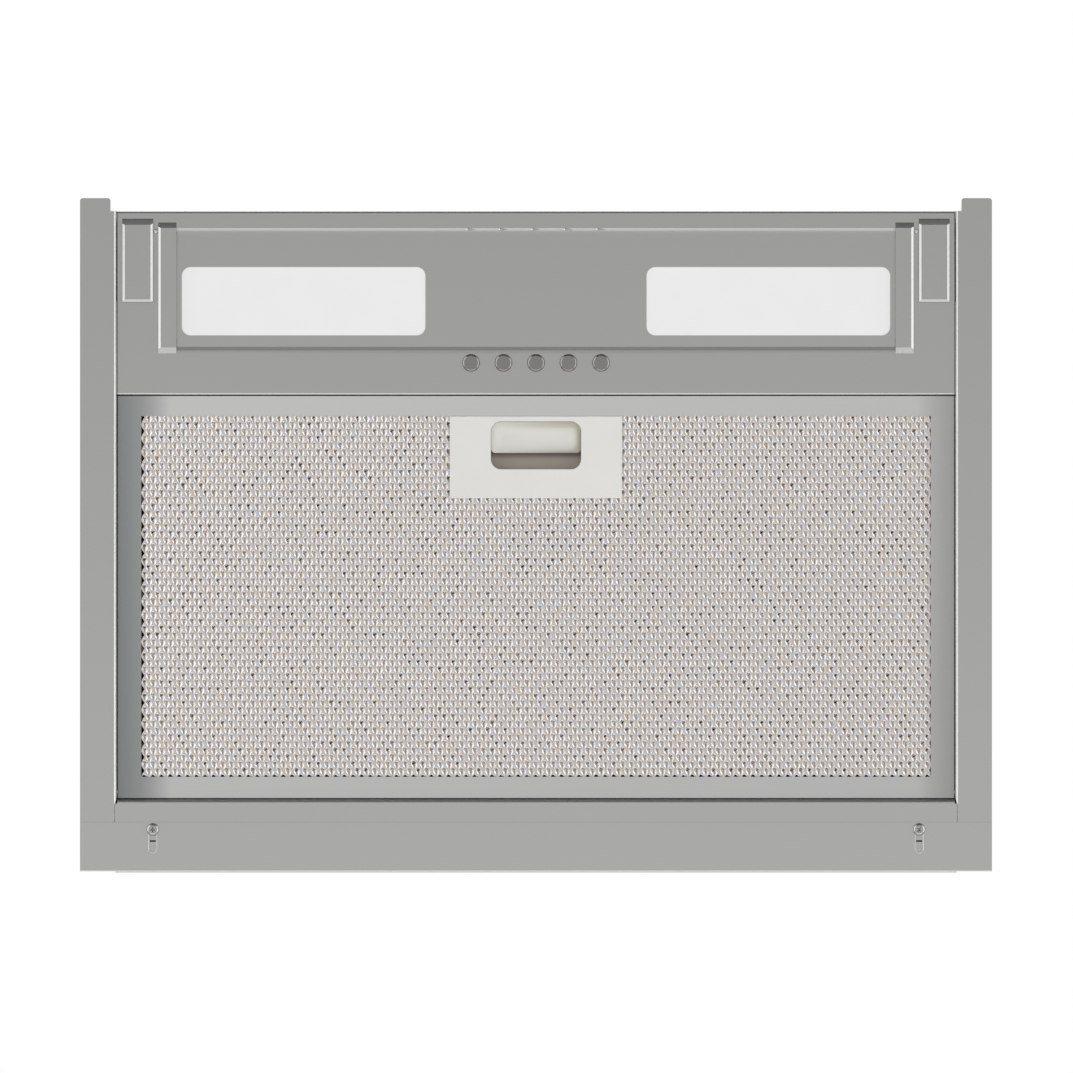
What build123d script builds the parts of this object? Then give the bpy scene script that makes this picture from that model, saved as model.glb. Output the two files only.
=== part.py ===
# Range hood insert: a steel canopy that pushes up into a kitchen cabinet, with a lamp and
# control panel, a tilting grease filter, a centrifugal blower in a box on top and a duct collar.
# Millimetres, +Z up as installed. The origin is the centre of the flange plane: the side
# flanges' upper faces lie at z = 0, the front is towards -Y and the body rises above.

import os

from build123d import *

# Overall envelope
overall_width = 530.0
overall_depth = 392.0
canopy_height = 70.0

# Sheet metal
sheet = 0.8
bend = 1.6
edge_bend = 2.4
seam = 0.3
slide_gap = 0.3
fixing_gap = 0.1
lap = 12.0

# Side rails
flange_width = 20.5
flange_nose = 7.5
nose_setback = 2.8
nose_corner = 1.6
wall_hole_radius = 2.5
wall_hole_spacing = 240.0
wall_hole_height = 45.0

# Front panel with its pressed lamp recess
panel_depth = 106.9
panel_rise = 5.0
panel_lip = 8.0
recess_front_margin = 9.8
recess_rear_margin = 24.3
recess_rise = 1.4
recess_front_draft = 3.0
recess_rear_draft = 4.2
recess_land = 6.0
recess_front_crease = 1.0
recess_front_bend = 13.0
recess_rear_bend = 4.0
recess_rear_crease = 11.0

# Lamp windows in the recess
window_length = 141.7
window_width = 39.8
window_radius = 5.2
window_end_gap = 3.1
window_shift = 6.15
lens_rim = 4.0
lens_thickness = 1.6
lens_inset = 0.2
lamp_wall = 1.4
lamp_height = 16.0
led_board_thickness = 1.6
led_size = 3.2
led_count = 8

# Push buttons and their switch block
button_count = 5
button_pitch = 18.9
button_setback = 18.7
button_radius = 5.0
button_proud = 2.8
button_edge = 1.4
button_travel = 2.0
button_neck = 1.0
stem_radius = 3.6
stem_length = 12.0
switch_front = 6.1
switch_rear = 11.0
switch_height = 26.0
switch_end = 12.0
switch_relief = 0.5

# Raised pressings at the two front corners
strip_setback = 24.8
strip_width = 10.6
strip_front_lap = 3.2
strip_rear_lap = 0.1
strip_proud = 3.0
bracket_width = 18.0
bracket_length = 48.5
bracket_front_margin = 4.4
bracket_gap = 2.9
bracket_proud = 3.6
bracket_front_slope = 3.6
strip_front_slope = 3.2
strip_rear_slope = 3.4
pressing_slope = 0.2
pressing_shoulder = 1.3
pressing_shoulder_rise = 0.7
rivet_radius = 1.2
rivet_height = 2.2
rivet_setback = 11.8
witness_length = 5.4
witness_width = 0.7
witness_depth = 0.2
witness_gap = 1.3
weld_radius = 1.1
weld_depth = 0.15
weld_place = 0.47

# Rear ledge, spacer strip and its screws
ledge_depth = 33.3
ledge_lip = 5.0
ledge_slit_length = 3.6
ledge_slit_width = 0.9
ledge_slit_setback = 6.8
spacer_lap = 20.1
spacer_travel = 8.0
spacer_slot = 11.4
spacer_end_trim = 0.6
spacer_leg = 24.0
spacer_screw_radius = 1.7
spacer_screw_head = 3.6
spacer_screw_head_height = 1.9
spacer_screw_dome = 1.7
spacer_screw_inset = 42.3
spacer_screw_margin = 4.1
clip_nut_size = 9.0
clip_nut_height = 3.0

# Grease filter
filter_gap = 0.3
filter_front_gap = 0.45
filter_rear_gap = 0.5
filter_rise = 7.0
filter_thickness = 9.0
frame_wall = 0.8
frame_edge = 0.3
frame_side_border = 13.8
frame_front_border = 11.75
frame_rear_border = 12.6
mesh_thickness = 0.8
core_columns = 18
core_rows = 8
core_web = 4.0
mesh_gap = 0.15
pivot_inset = 3.6
pivot_radius = 2.5
pivot_gap = 0.06

# Filter handle and latch
handle_width = 100.0
handle_depth = 47.7
handle_proud = 0.4
handle_edge = 0.3
handle_floor = 1.6
handle_root_width = 80.0
pocket_width = 52.5
pocket_depth = 27.9
pocket_radius = 6.0
pocket_margin = 3.0
latch_depth = 18.0
latch_inset = 0.8
latch_hollow = 2.2
latch_corner = 2.0
latch_nose_width = 18.0
latch_nose_height = 3.0
latch_nose_rise = 3.0

# Blower box on top of the canopy
box_width = 300.0
box_height = 182.0
box_front_clearance = 12.0
box_rear_clearance = 42.0
box_bend = 4.0
box_flange = 14.0
inlet_margin = 22.0
inlet_corner = 10.0
guard_lap = 6.0
guard_slot = 8.0
guard_pitch = 11.0
guard_rows = 3
guard_row_gap = 6.0

# Scroll and impeller, turning about an axis along X
blower_shift = -20.0
blower_height = 100.0
impeller_radius = 65.0
impeller_width = 108.0
blade_count = 36
blade_depth = 11.0
blade_thickness = 0.9
blade_angle = 32.0
impeller_rim = 3.0
hub_radius = 12.0
hub_length = 24.0
hub_disc = 2.0
scroll_sheet = 1.0
scroll_gap = 12.0
scroll_step = 5.0
scroll_side_gap = 6.0
shaft_radius = 4.0
shaft_gap = 0.05
motor_radius = 41.0
motor_length = 56.0
motor_start = 12.0
motor_edge = 4.0
motor_bearing = 10.0
motor_ring_inset = 5.0
motor_arm_width = 14.0
motor_arm_count = 3
motor_plate_thickness = 2.0
grommet_radius = 6.0
capacitor_radius = 17.0
capacitor_length = 62.0
capacitor_rear = 100.0
capacitor_drop = 40.0

# Duct collar with its two non-return flaps
duct_radius = 74.5
collar_wall = 2.0
collar_height = 46.0
collar_flange = 16.0
collar_flange_thickness = 2.5
collar_seat = 5.0
collar_seat_height = 5.0
flap_gap = 1.0
flap_thickness = 1.5
flap_lift = 0.3
flap_pin_radius = 1.5
flap_pin_gap = 0.08
flap_barrel_wall = 1.2
flap_barrel_gap = 0.6
flap_barrel_half = 60.0
collar_screw_count = 4
collar_screw_angle = 45.0
collar_chamfer = 0.8

# Mains terminal box and LED driver
terminal_length = 90.0
terminal_width = 52.0
terminal_height = 30.0
terminal_wall = 2.0
terminal_corner = 4.0
terminal_setback = 78.0
terminal_lid_thickness = 3.0
terminal_block_length = 48.0
terminal_block_width = 18.0
terminal_block_height = 14.0
gland_radius = 9.0
gland_length = 16.0
gland_bore = 4.0
gland_thread = 6.5
gland_sides = 6
driver_length = 110.0
driver_width = 34.0
driver_height = 24.0
driver_setback = 112.9
driver_edge = 2.0

# Self-tapping screws
screw_head_radius = 3.6
screw_head_height = 2.2
screw_edge = 1.4
screw_margin = 24.0

# Derived places
body_half = overall_width / 2 - flange_width
wall_inner = body_half - sheet
front_y = -overall_depth / 2 + flange_nose
rear_end_y = overall_depth / 2
rear_wall_y = rear_end_y - sheet - seam - spacer_travel
ledge_y = rear_wall_y - ledge_depth
panel_half = wall_inner - seam
panel_rear_y = front_y + panel_depth
panel_top = panel_rise + sheet
recess_front_y = front_y + recess_front_margin
recess_rear_y = panel_rear_y - recess_rear_margin
recess_floor = panel_rise + recess_rise
recess_top = recess_floor + sheet
recess_mid_y = (recess_front_y + recess_rear_y) / 2
strip_outer = body_half - strip_setback
strip_inner = strip_outer - strip_width
window_spacing = 2 * (strip_inner - window_end_gap) - window_length
recess_half = (strip_outer + strip_inner) / 2
window_y = recess_mid_y + window_shift
button_y = panel_rear_y - button_setback
button_xs = [(i - (button_count - 1) / 2) * button_pitch for i in range(button_count)]
canopy_top_z = canopy_height + sheet
spacer_front_y = rear_wall_y - spacer_lap
spacer_top = -sheet - slide_gap
spacer_bottom = spacer_top - sheet
spacer_screw_x = overall_width / 2 - spacer_screw_inset
spacer_screw_y = spacer_front_y + spacer_screw_margin
bracket_inner = strip_outer + bracket_gap
bracket_outer = bracket_inner + bracket_width
bracket_mid = (bracket_inner + bracket_outer) / 2
bracket_front_y = front_y + bracket_front_margin
bracket_rear_y = bracket_front_y + bracket_length
filter_half = wall_inner - filter_gap
filter_front_y = panel_rear_y + filter_front_gap
filter_rear_y = ledge_y - filter_rear_gap
filter_top = filter_rise + filter_thickness
pivot_y = filter_rear_y - pivot_inset
pivot_z = filter_rise + filter_thickness / 2
mesh_half = filter_half - frame_wall - mesh_gap
mesh_front_y = filter_front_y + frame_wall + mesh_gap
mesh_rear_y = filter_rear_y - frame_wall - mesh_gap
mesh_bottom = filter_rise + frame_wall + mesh_gap
mesh_top = filter_top - frame_wall - mesh_gap
handle_front_y = filter_front_y + frame_front_border + mesh_gap
handle_rear_y = handle_front_y + handle_depth
handle_face = filter_rise - handle_proud
pocket_front_y = handle_front_y + pocket_margin
pocket_mid_y = pocket_front_y + pocket_depth / 2
pocket_top = mesh_top - handle_floor
nose_z = filter_rise + latch_nose_rise
blower_y = blower_shift
blower_z = canopy_top_z + blower_height
scroll_half = impeller_width / 2 + scroll_side_gap
scroll_r1 = impeller_radius + scroll_gap
scroll_r2 = scroll_r1 + 2 * scroll_step
scroll_r3 = scroll_r2 + 2 * scroll_step
tongue_y = blower_y - scroll_step
outlet_rear_y = blower_y + scroll_step + scroll_r3
box_half = box_width / 2
box_top_z = canopy_top_z + box_height
box_roof = box_top_z - sheet
box_front_y = tongue_y - scroll_r1 - scroll_sheet - box_front_clearance
box_rear_y = outlet_rear_y + scroll_sheet + box_rear_clearance
box_mid_y = (box_front_y + box_rear_y) / 2
box_depth = box_rear_y - box_front_y
inlet_radius = impeller_radius - blade_depth
cheek_outer = scroll_half + scroll_sheet
motor_end = motor_start + motor_length
collar_y = (tongue_y + outlet_rear_y) / 2
collar_inner = duct_radius - collar_wall
collar_mouth = collar_inner - collar_seat
flap_z = box_top_z + collar_seat_height + flap_lift + flap_thickness / 2
barrel_radius = flap_pin_radius + flap_pin_gap + flap_barrel_wall
flap_offset = barrel_radius + flap_barrel_gap / 2
terminal_x = (box_half + box_flange + body_half) / 2
terminal_y = rear_wall_y - terminal_setback
driver_x = -terminal_x
driver_y = rear_wall_y - driver_setback

parts_folder = "parts"
os.makedirs(parts_folder, exist_ok=True)
finished = {}


def keep(builder, name):
    """Labels a finished piece and writes its STEP file."""
    builder.part.label = name
    export_step(builder.part, f"{parts_folder}/{name}.step")
    finished[name] = builder.part


def keep_mirrored(name, source):
    """The opposite-hand copy of a finished piece, mirrored across the YZ plane."""
    with BuildPart() as copy:
        add(finished[source])
        mirror(about=Plane.YZ, mode=Mode.REPLACE)
    keep(copy, name)


def block(x0, x1, y0, y1, z0, z1, mode=Mode.ADD):
    """A plain box between two corners, added to or cut from the open part."""
    with BuildSketch(Plane.XY.offset(z0)) as base:
        with Locations(((x0 + x1) / 2, (y0 + y1) / 2)):
            Rectangle(x1 - x0, y1 - y0)
    extrude(base.sketch, amount=z1 - z0, mode=mode)


def tapered(x0, x1, y0, y1, z0, z1, insets, mode=Mode.ADD):
    """A block whose far face is drawn in by one inset per side (x0, x1, y0, y1)."""
    near = (x0 + insets[0], x1 - insets[1], y0 + insets[2], y1 - insets[3])
    with BuildSketch(Plane.XY.offset(z0)) as base:
        with Locations(((x0 + x1) / 2, (y0 + y1) / 2)):
            Rectangle(x1 - x0, y1 - y0)
    with BuildSketch(Plane.XY.offset(z1)) as top:
        with Locations(((near[0] + near[1]) / 2, (near[2] + near[3]) / 2)):
            Rectangle(near[1] - near[0], near[3] - near[2])
    loft([base.sketch, top.sketch], mode=mode)


def pressing(x0, x1, y0, y1, proud, slopes, shoulders):
    """A raised sheet pressing with coined shoulders, open towards the front panel."""
    face = panel_rise - proud
    knee = face + pressing_shoulder_rise
    share = pressing_shoulder_rise / proud
    lower = [slope * (1 - share) for slope in slopes]
    upper = [slope * share + shoulder for slope, shoulder in zip(slopes, shoulders)]
    inside = [slope + shoulder / 2 for slope, shoulder in zip(slopes, shoulders)]
    tapered(x0, x1, y0, y1, panel_rise, knee, lower)
    tapered(x0 + lower[0], x1 - lower[1], y0 + lower[2], y1 - lower[3], knee, face, upper)
    tapered(
        x0 + sheet, x1 - sheet, y0 + sheet, y1 - sheet,
        panel_rise, face + sheet, inside, mode=Mode.SUBTRACT,
    )


def lap_relief(y0, y1):
    """Shortens a top lap so that it clears the side rails' laps at both corners."""
    for side in (-1, 1):
        near = side * (body_half - lap - seam)
        far = side * body_half
        block(
            min(near, far), max(near, far), y0, y1,
            canopy_height - sheet - seam, canopy_height, mode=Mode.SUBTRACT,
        )


def screw_heads(places, z):
    """Separate pan heads standing on a horizontal face."""
    with BuildSketch(Plane.XY.offset(z)) as heads:
        with Locations(*places):
            Circle(screw_head_radius)
    extrude(heads.sketch, amount=screw_head_height)


def dome_tops(part, height, radius):
    """Rounds every edge that lies at one height."""
    rims = part.edges().filter_by(GeomType.CIRCLE)
    fillet(rims.filter_by_position(Axis.Z, height - fixing_gap, height + fixing_gap), radius=radius)


# Side rails: wall, outward flange that seats under the cabinet, inward lap for the top plate
with BuildPart() as right_side_rail:
    with BuildSketch(Plane.XZ.offset(-front_y)):
        with BuildLine():
            FilletPolyline(
                (body_half - lap, canopy_height),
                (body_half, canopy_height),
                (body_half, 0),
                (overall_width / 2, 0),
                radius=edge_bend - sheet,
            )
            offset(amount=sheet, side=Side.RIGHT)
        make_face()
    extrude(amount=-(rear_wall_y - front_y))
    block(
        body_half + nose_setback, overall_width / 2,
        front_y - flange_nose, front_y + bend, -sheet, 0,
    )
    nose_edges = right_side_rail.edges().filter_by(Axis.Z)
    fillet(nose_edges.group_by(Axis.Y)[0], radius=nose_corner)
    with BuildSketch(Plane.YZ.offset(wall_inner)):
        with Locations((0, wall_hole_height)):
            with GridLocations(wall_hole_spacing, 1, 2, 1):
                Circle(wall_hole_radius)
        with Locations((pivot_y, pivot_z)):
            Circle(pivot_radius + pivot_gap)
    extrude(amount=sheet, mode=Mode.SUBTRACT)
keep(right_side_rail, "right_side_rail")
keep_mirrored("left_side_rail", "right_side_rail")

# Rear wall: up-turned lip behind the filter, ledge that carries the spacer, wall and top lap
with BuildPart() as rear_wall:
    with BuildSketch(Plane.YZ):
        with BuildLine():
            FilletPolyline(
                (ledge_y, ledge_lip),
                (ledge_y, -sheet),
                (rear_wall_y, -sheet),
                (rear_wall_y, canopy_height),
                (rear_wall_y - lap, canopy_height),
                radius=edge_bend,
            )
            offset(amount=sheet, side=Side.LEFT)
        make_face()
    extrude(amount=panel_half, both=True)
    lap_relief(rear_wall_y - lap, rear_wall_y)
    for side in (-1, 1):
        ends = sorted((side * panel_half, side * (wall_inner + edge_bend)))
        block(ends[0], ends[1], ledge_y + edge_bend, rear_wall_y - edge_bend, -sheet, 0)
        with BuildSketch(Plane.XZ.offset(-ledge_y)):
            with Locations((side * (wall_inner + edge_bend), edge_bend - sheet)):
                Circle(edge_bend + seam)
        extrude(amount=-ledge_depth, mode=Mode.SUBTRACT)
    with BuildSketch(Plane.XY.offset(-sheet)):
        with Locations((0, spacer_screw_y)):
            with GridLocations(2 * spacer_screw_x, 1, 2, 1):
                Circle(spacer_screw_radius + fixing_gap)
        with Locations((0, spacer_screw_y + ledge_slit_setback)):
            with GridLocations(2 * spacer_screw_x, 1, 2, 1):
                Rectangle(ledge_slit_length, ledge_slit_width)
    extrude(amount=sheet, mode=Mode.SUBTRACT)
keep(rear_wall, "rear_wall")

# Front panel: front wall, flat control face, pressed lamp recess and up-turned rear lip
with BuildPart() as front_panel:
    with BuildSketch(Plane.YZ):
        with BuildLine():
            FilletPolyline(
                (front_y + lap, canopy_height),
                (front_y, canopy_height),
                (front_y, panel_rise),
                (panel_rear_y, panel_rise),
                (panel_rear_y, panel_rise + panel_lip),
                radius=bend,
            )
            offset(amount=sheet, side=Side.LEFT)
        make_face()
    extrude(amount=panel_half, both=True)
    lap_relief(front_y, front_y + lap)
    block(
        -recess_half, recess_half,
        recess_front_y - recess_land / 2, recess_rear_y + recess_land / 2,
        panel_rise, panel_top, mode=Mode.SUBTRACT,
    )
    with BuildSketch(Plane.YZ):
        with BuildLine():
            FilletPolyline(
                (recess_front_y - recess_land, panel_rise),
                (recess_front_y, panel_rise),
                (recess_front_y + recess_front_draft, recess_floor),
                (recess_rear_y - recess_rear_draft, recess_floor),
                (recess_rear_y, panel_rise),
                (recess_rear_y + recess_land, panel_rise),
                radius=(
                    recess_front_crease, recess_front_bend, recess_rear_bend, recess_rear_crease
                ),
            )
            offset(amount=sheet, side=Side.LEFT)
        make_face()
    extrude(amount=recess_half, both=True)
    with BuildSketch(Plane.XY.offset(recess_floor)):
        with Locations((0, window_y)):
            with GridLocations(window_spacing, 1, 2, 1):
                RectangleRounded(window_length, window_width, window_radius)
    extrude(amount=sheet, mode=Mode.SUBTRACT)
    with BuildSketch(Plane.XY.offset(panel_rise)):
        with Locations(*[(x, button_y) for x in button_xs]):
            Circle(button_radius + slide_gap)
    extrude(amount=recess_top - panel_rise, mode=Mode.SUBTRACT)
    with BuildSketch(Plane.XY.offset(panel_rise)):
        with Locations((0, bracket_rear_y + witness_gap)):
            with GridLocations(2 * bracket_mid, 1, 2, 1):
                Rectangle(witness_length, witness_width)
    extrude(amount=witness_depth, mode=Mode.SUBTRACT)
keep(front_panel, "front_panel")

# End strips that close the lamp recess, each with a leg up to the recess floor
with BuildPart() as right_end_strip:
    pressing(
        strip_inner, strip_outer,
        recess_front_y - strip_front_lap, recess_rear_y + strip_rear_lap,
        strip_proud, (0, pressing_slope, strip_front_slope, strip_rear_slope),
        (0, pressing_shoulder, 0, 0),
    )
    block(
        strip_inner, strip_inner + sheet,
        recess_front_y + 2 * recess_front_draft, recess_rear_y - 2 * recess_rear_draft,
        panel_rise - strip_proud, recess_floor,
    )
keep(right_end_strip, "right_end_strip")
keep_mirrored("left_end_strip", "right_end_strip")

# Stiffening brackets pressed at the front corners
with BuildPart() as right_corner_bracket:
    pressing(
        bracket_inner, bracket_outer, bracket_front_y, bracket_rear_y,
        bracket_proud, (pressing_slope, pressing_slope, bracket_front_slope, pressing_slope),
        (pressing_shoulder, pressing_shoulder, 0, pressing_shoulder),
    )
    with BuildSketch(Plane.XY.offset(panel_rise - bracket_proud)):
        with Locations((bracket_mid, bracket_front_y + weld_place * bracket_length)):
            Circle(weld_radius)
    extrude(amount=weld_depth, mode=Mode.SUBTRACT)
keep(right_corner_bracket, "right_corner_bracket")
keep_mirrored("left_corner_bracket", "right_corner_bracket")

# Domed rivets between strip and bracket
with BuildPart() as panel_rivets:
    with BuildSketch(Plane.XY.offset(panel_rise)):
        with Locations((0, front_y + rivet_setback)):
            with GridLocations(strip_outer + bracket_inner, 1, 2, 1):
                Circle(rivet_radius)
    extrude(amount=-rivet_height)
    dome_tops(panel_rivets, panel_rise - rivet_height, rivet_radius / 2)
keep(panel_rivets, "panel_rivets")

# Lamp lens: a rim behind the window and a plateau that fills it
with BuildPart() as right_lamp_lens:
    with BuildSketch(Plane.XY.offset(recess_floor + lens_inset)):
        with Locations((window_spacing / 2, window_y)):
            RectangleRounded(
                window_length - 2 * seam, window_width - 2 * seam, window_radius - seam
            )
    extrude(amount=sheet - lens_inset)
    with BuildSketch(Plane.XY.offset(recess_top)):
        with Locations((window_spacing / 2, window_y)):
            Rectangle(window_length + 2 * lens_rim, window_width + 2 * lens_rim)
    extrude(amount=lens_thickness)
keep(right_lamp_lens, "right_lamp_lens")
keep_mirrored("left_lamp_lens", "right_lamp_lens")

# Lamp housing over the lens, open below
lamp_base = recess_top + lens_thickness
lamp_roof = lamp_base + lamp_height
lamp_inner_length = window_length + 2 * lens_rim - 2 * lamp_wall
lamp_inner_width = window_width + 2 * lens_rim - 2 * lamp_wall
with BuildPart() as right_lamp_housing:
    with BuildSketch(Plane.XY.offset(lamp_base)):
        with Locations((window_spacing / 2, window_y)):
            Rectangle(window_length + 2 * lens_rim, window_width + 2 * lens_rim)
    extrude(amount=lamp_height)
    with BuildSketch(Plane.XY.offset(lamp_base)):
        with Locations((window_spacing / 2, window_y)):
            Rectangle(lamp_inner_length, lamp_inner_width)
    extrude(amount=lamp_height - lamp_wall, mode=Mode.SUBTRACT)
keep(right_lamp_housing, "right_lamp_housing")
keep_mirrored("left_lamp_housing", "right_lamp_housing")

# LED board under the housing's roof with a row of LEDs
board_top = lamp_roof - lamp_wall
with BuildPart() as right_led_board:
    with BuildSketch(Plane.XY.offset(board_top - led_board_thickness)):
        with Locations((window_spacing / 2, window_y)):
            Rectangle(lamp_inner_length - 2 * seam, lamp_inner_width - 2 * seam)
    extrude(amount=led_board_thickness)
    with BuildSketch(Plane.XY.offset(board_top - led_board_thickness)):
        with Locations((window_spacing / 2, window_y)):
            with GridLocations(lamp_inner_length / led_count, 1, led_count, 1):
                Rectangle(led_size, led_size)
    extrude(amount=-led_board_thickness)
keep(right_led_board, "right_led_board")
keep_mirrored("left_led_board", "right_led_board")

# Switch block with a stepped guide bore for each button
stem_base = panel_top + button_neck
switch_half = button_xs[-1] + switch_end
with BuildPart() as switch_block:
    block(
        -switch_half, switch_half, button_y - switch_front, button_y + switch_rear,
        panel_top, panel_top + switch_height,
    )
    with BuildSketch(Plane.XY.offset(panel_top)):
        with Locations(*[(x, button_y) for x in button_xs]):
            Circle(button_radius + slide_gap)
    extrude(amount=button_neck + button_travel + slide_gap, mode=Mode.SUBTRACT)
    with BuildSketch(Plane.XY.offset(panel_top)):
        with Locations(*[(x, button_y) for x in button_xs]):
            Circle(stem_radius + slide_gap)
    extrude(
        amount=button_neck + stem_length + button_travel + slide_gap, mode=Mode.SUBTRACT
    )
    block(
        -switch_half, switch_half, button_y - switch_front, recess_rear_y + recess_rear_draft,
        panel_top, panel_top + switch_relief, mode=Mode.SUBTRACT,
    )
keep(switch_block, "switch_block")

# Push buttons, numbered from left to right as seen from below
for number, x in enumerate(button_xs, start=1):
    with BuildPart() as button:
        with BuildSketch(Plane.XY.offset(panel_rise - button_proud)):
            with Locations((x, button_y)):
                Circle(button_radius)
        extrude(amount=button_proud + sheet + button_neck)
        fillet(button.edges().group_by(Axis.Z)[0], radius=button_edge)
        with BuildSketch(Plane.XY.offset(stem_base)):
            with Locations((x, button_y)):
                Circle(stem_radius)
        extrude(amount=stem_length)
    keep(button, f"button_{number}")

# Spacer strip that takes up the space behind the canopy, slotted for its two screws
with BuildPart() as spacer_strip:
    with BuildSketch(Plane.YZ):
        with BuildLine():
            FilletPolyline(
                (spacer_front_y, spacer_bottom),
                (rear_end_y, spacer_bottom),
                (rear_end_y, spacer_leg),
                radius=bend,
            )
            offset(amount=sheet, side=Side.LEFT)
        make_face()
    extrude(amount=overall_width / 2, both=True)
    for side in (-1, 1):
        ends = sorted((side * body_half, side * overall_width / 2))
        block(
            ends[0], ends[1], spacer_front_y, rear_end_y,
            spacer_bottom + bend, spacer_leg, mode=Mode.SUBTRACT,
        )
        block(
            ends[0], ends[1], rear_end_y - spacer_end_trim, rear_end_y,
            spacer_bottom, spacer_leg, mode=Mode.SUBTRACT,
        )
    with BuildSketch(Plane.XY.offset(spacer_bottom)):
        with Locations((0, spacer_screw_y + spacer_slot / 2)):
            with GridLocations(2 * spacer_screw_x, 1, 2, 1):
                SlotCenterToCenter(
                    spacer_slot, 2 * (spacer_screw_radius + slide_gap), rotation=90
                )
    extrude(amount=sheet, mode=Mode.SUBTRACT)
keep(spacer_strip, "spacer_strip")

# Pan-head screws through the slots, and the clip nuts above the ledge
head_top = spacer_bottom - slide_gap
with BuildPart() as spacer_screws:
    with BuildSketch(Plane.XY.offset(head_top)):
        with Locations((0, spacer_screw_y)):
            with GridLocations(2 * spacer_screw_x, 1, 2, 1):
                Circle(spacer_screw_head)
    extrude(amount=-spacer_screw_head_height)
    dome_tops(spacer_screws, head_top - spacer_screw_head_height, spacer_screw_dome)
    with BuildSketch(Plane.XY.offset(head_top)):
        with Locations((0, spacer_screw_y)):
            with GridLocations(2 * spacer_screw_x, 1, 2, 1):
                Circle(spacer_screw_radius)
    extrude(amount=clip_nut_height - head_top)
keep(spacer_screws, "spacer_screws")

with BuildPart() as clip_nuts:
    with BuildSketch():
        with Locations((0, spacer_screw_y)):
            with GridLocations(2 * spacer_screw_x, 1, 2, 1):
                Rectangle(clip_nut_size, clip_nut_size)
                Circle(spacer_screw_radius + fixing_gap, mode=Mode.SUBTRACT)
    extrude(amount=clip_nut_height)
keep(clip_nuts, "clip_nuts")

# Filter frame: a channel folded round the mesh, slotted at the front for the latch
with BuildPart() as filter_frame:
    block(-filter_half, filter_half, filter_front_y, filter_rear_y, filter_rise, filter_top)
    fillet(edges(), radius=frame_edge)
    block(
        frame_wall - filter_half, filter_half - frame_wall,
        filter_front_y + frame_wall, filter_rear_y - frame_wall,
        filter_rise + frame_wall, filter_top - frame_wall, mode=Mode.SUBTRACT,
    )
    block(
        frame_side_border - filter_half, filter_half - frame_side_border,
        filter_front_y + frame_front_border, filter_rear_y - frame_rear_border,
        filter_rise, filter_top, mode=Mode.SUBTRACT,
    )
    block(
        -latch_nose_width / 2 - slide_gap, latch_nose_width / 2 + slide_gap,
        filter_front_y, filter_front_y + frame_wall,
        nose_z - slide_gap, nose_z + latch_nose_height + slide_gap, mode=Mode.SUBTRACT,
    )
keep(filter_frame, "filter_frame")

# Mesh layers inside the frame, notched round the handle: face, open core and back
core_bottom = mesh_bottom + mesh_thickness + mesh_gap
core_top = mesh_top - mesh_thickness - mesh_gap
core_pitch_x = 2 * mesh_half / core_columns
core_pitch_y = (mesh_rear_y - mesh_front_y) / core_rows
mesh_layers = {
    "filter_face_mesh": (mesh_bottom, mesh_bottom + mesh_thickness),
    "filter_core": (core_bottom, core_top),
    "filter_back_mesh": (mesh_top - mesh_thickness, mesh_top),
}
for layer, (bottom, top) in mesh_layers.items():
    with BuildPart() as mesh:
        block(-mesh_half, mesh_half, mesh_front_y, mesh_rear_y, bottom, top)
        if layer == "filter_core":
            with BuildSketch(Plane.XY.offset(bottom)):
                with Locations((0, (mesh_front_y + mesh_rear_y) / 2)):
                    with GridLocations(core_pitch_x, core_pitch_y, core_columns, core_rows):
                        Rectangle(core_pitch_x - core_web, core_pitch_y - core_web)
            extrude(amount=top - bottom, mode=Mode.SUBTRACT)
        block(
            -handle_width / 2 - mesh_gap, handle_width / 2 + mesh_gap,
            mesh_front_y, handle_rear_y + mesh_gap, bottom, top, mode=Mode.SUBTRACT,
        )
    keep(mesh, layer)

# Handle: a plate level with the frame, a root in the frame channel and a finger pocket
with BuildPart() as filter_handle:
    block(
        -handle_width / 2, handle_width / 2, handle_front_y, handle_rear_y,
        handle_face, mesh_top,
    )
    fillet(edges().group_by(Axis.Z)[0], radius=handle_edge)
    block(
        -handle_root_width / 2, handle_root_width / 2, mesh_front_y, handle_front_y,
        mesh_bottom, mesh_top,
    )
    with BuildSketch(Plane.XY.offset(handle_face)):
        with Locations((0, pocket_mid_y)):
            RectangleRounded(pocket_width, pocket_depth, pocket_radius)
    extrude(amount=pocket_top - handle_face, mode=Mode.SUBTRACT)
    block(
        -latch_nose_width / 2 - slide_gap, latch_nose_width / 2 + slide_gap,
        mesh_front_y, pocket_mid_y,
        nose_z - slide_gap, nose_z + latch_nose_height + slide_gap, mode=Mode.SUBTRACT,
    )
keep(filter_handle, "filter_handle")

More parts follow.
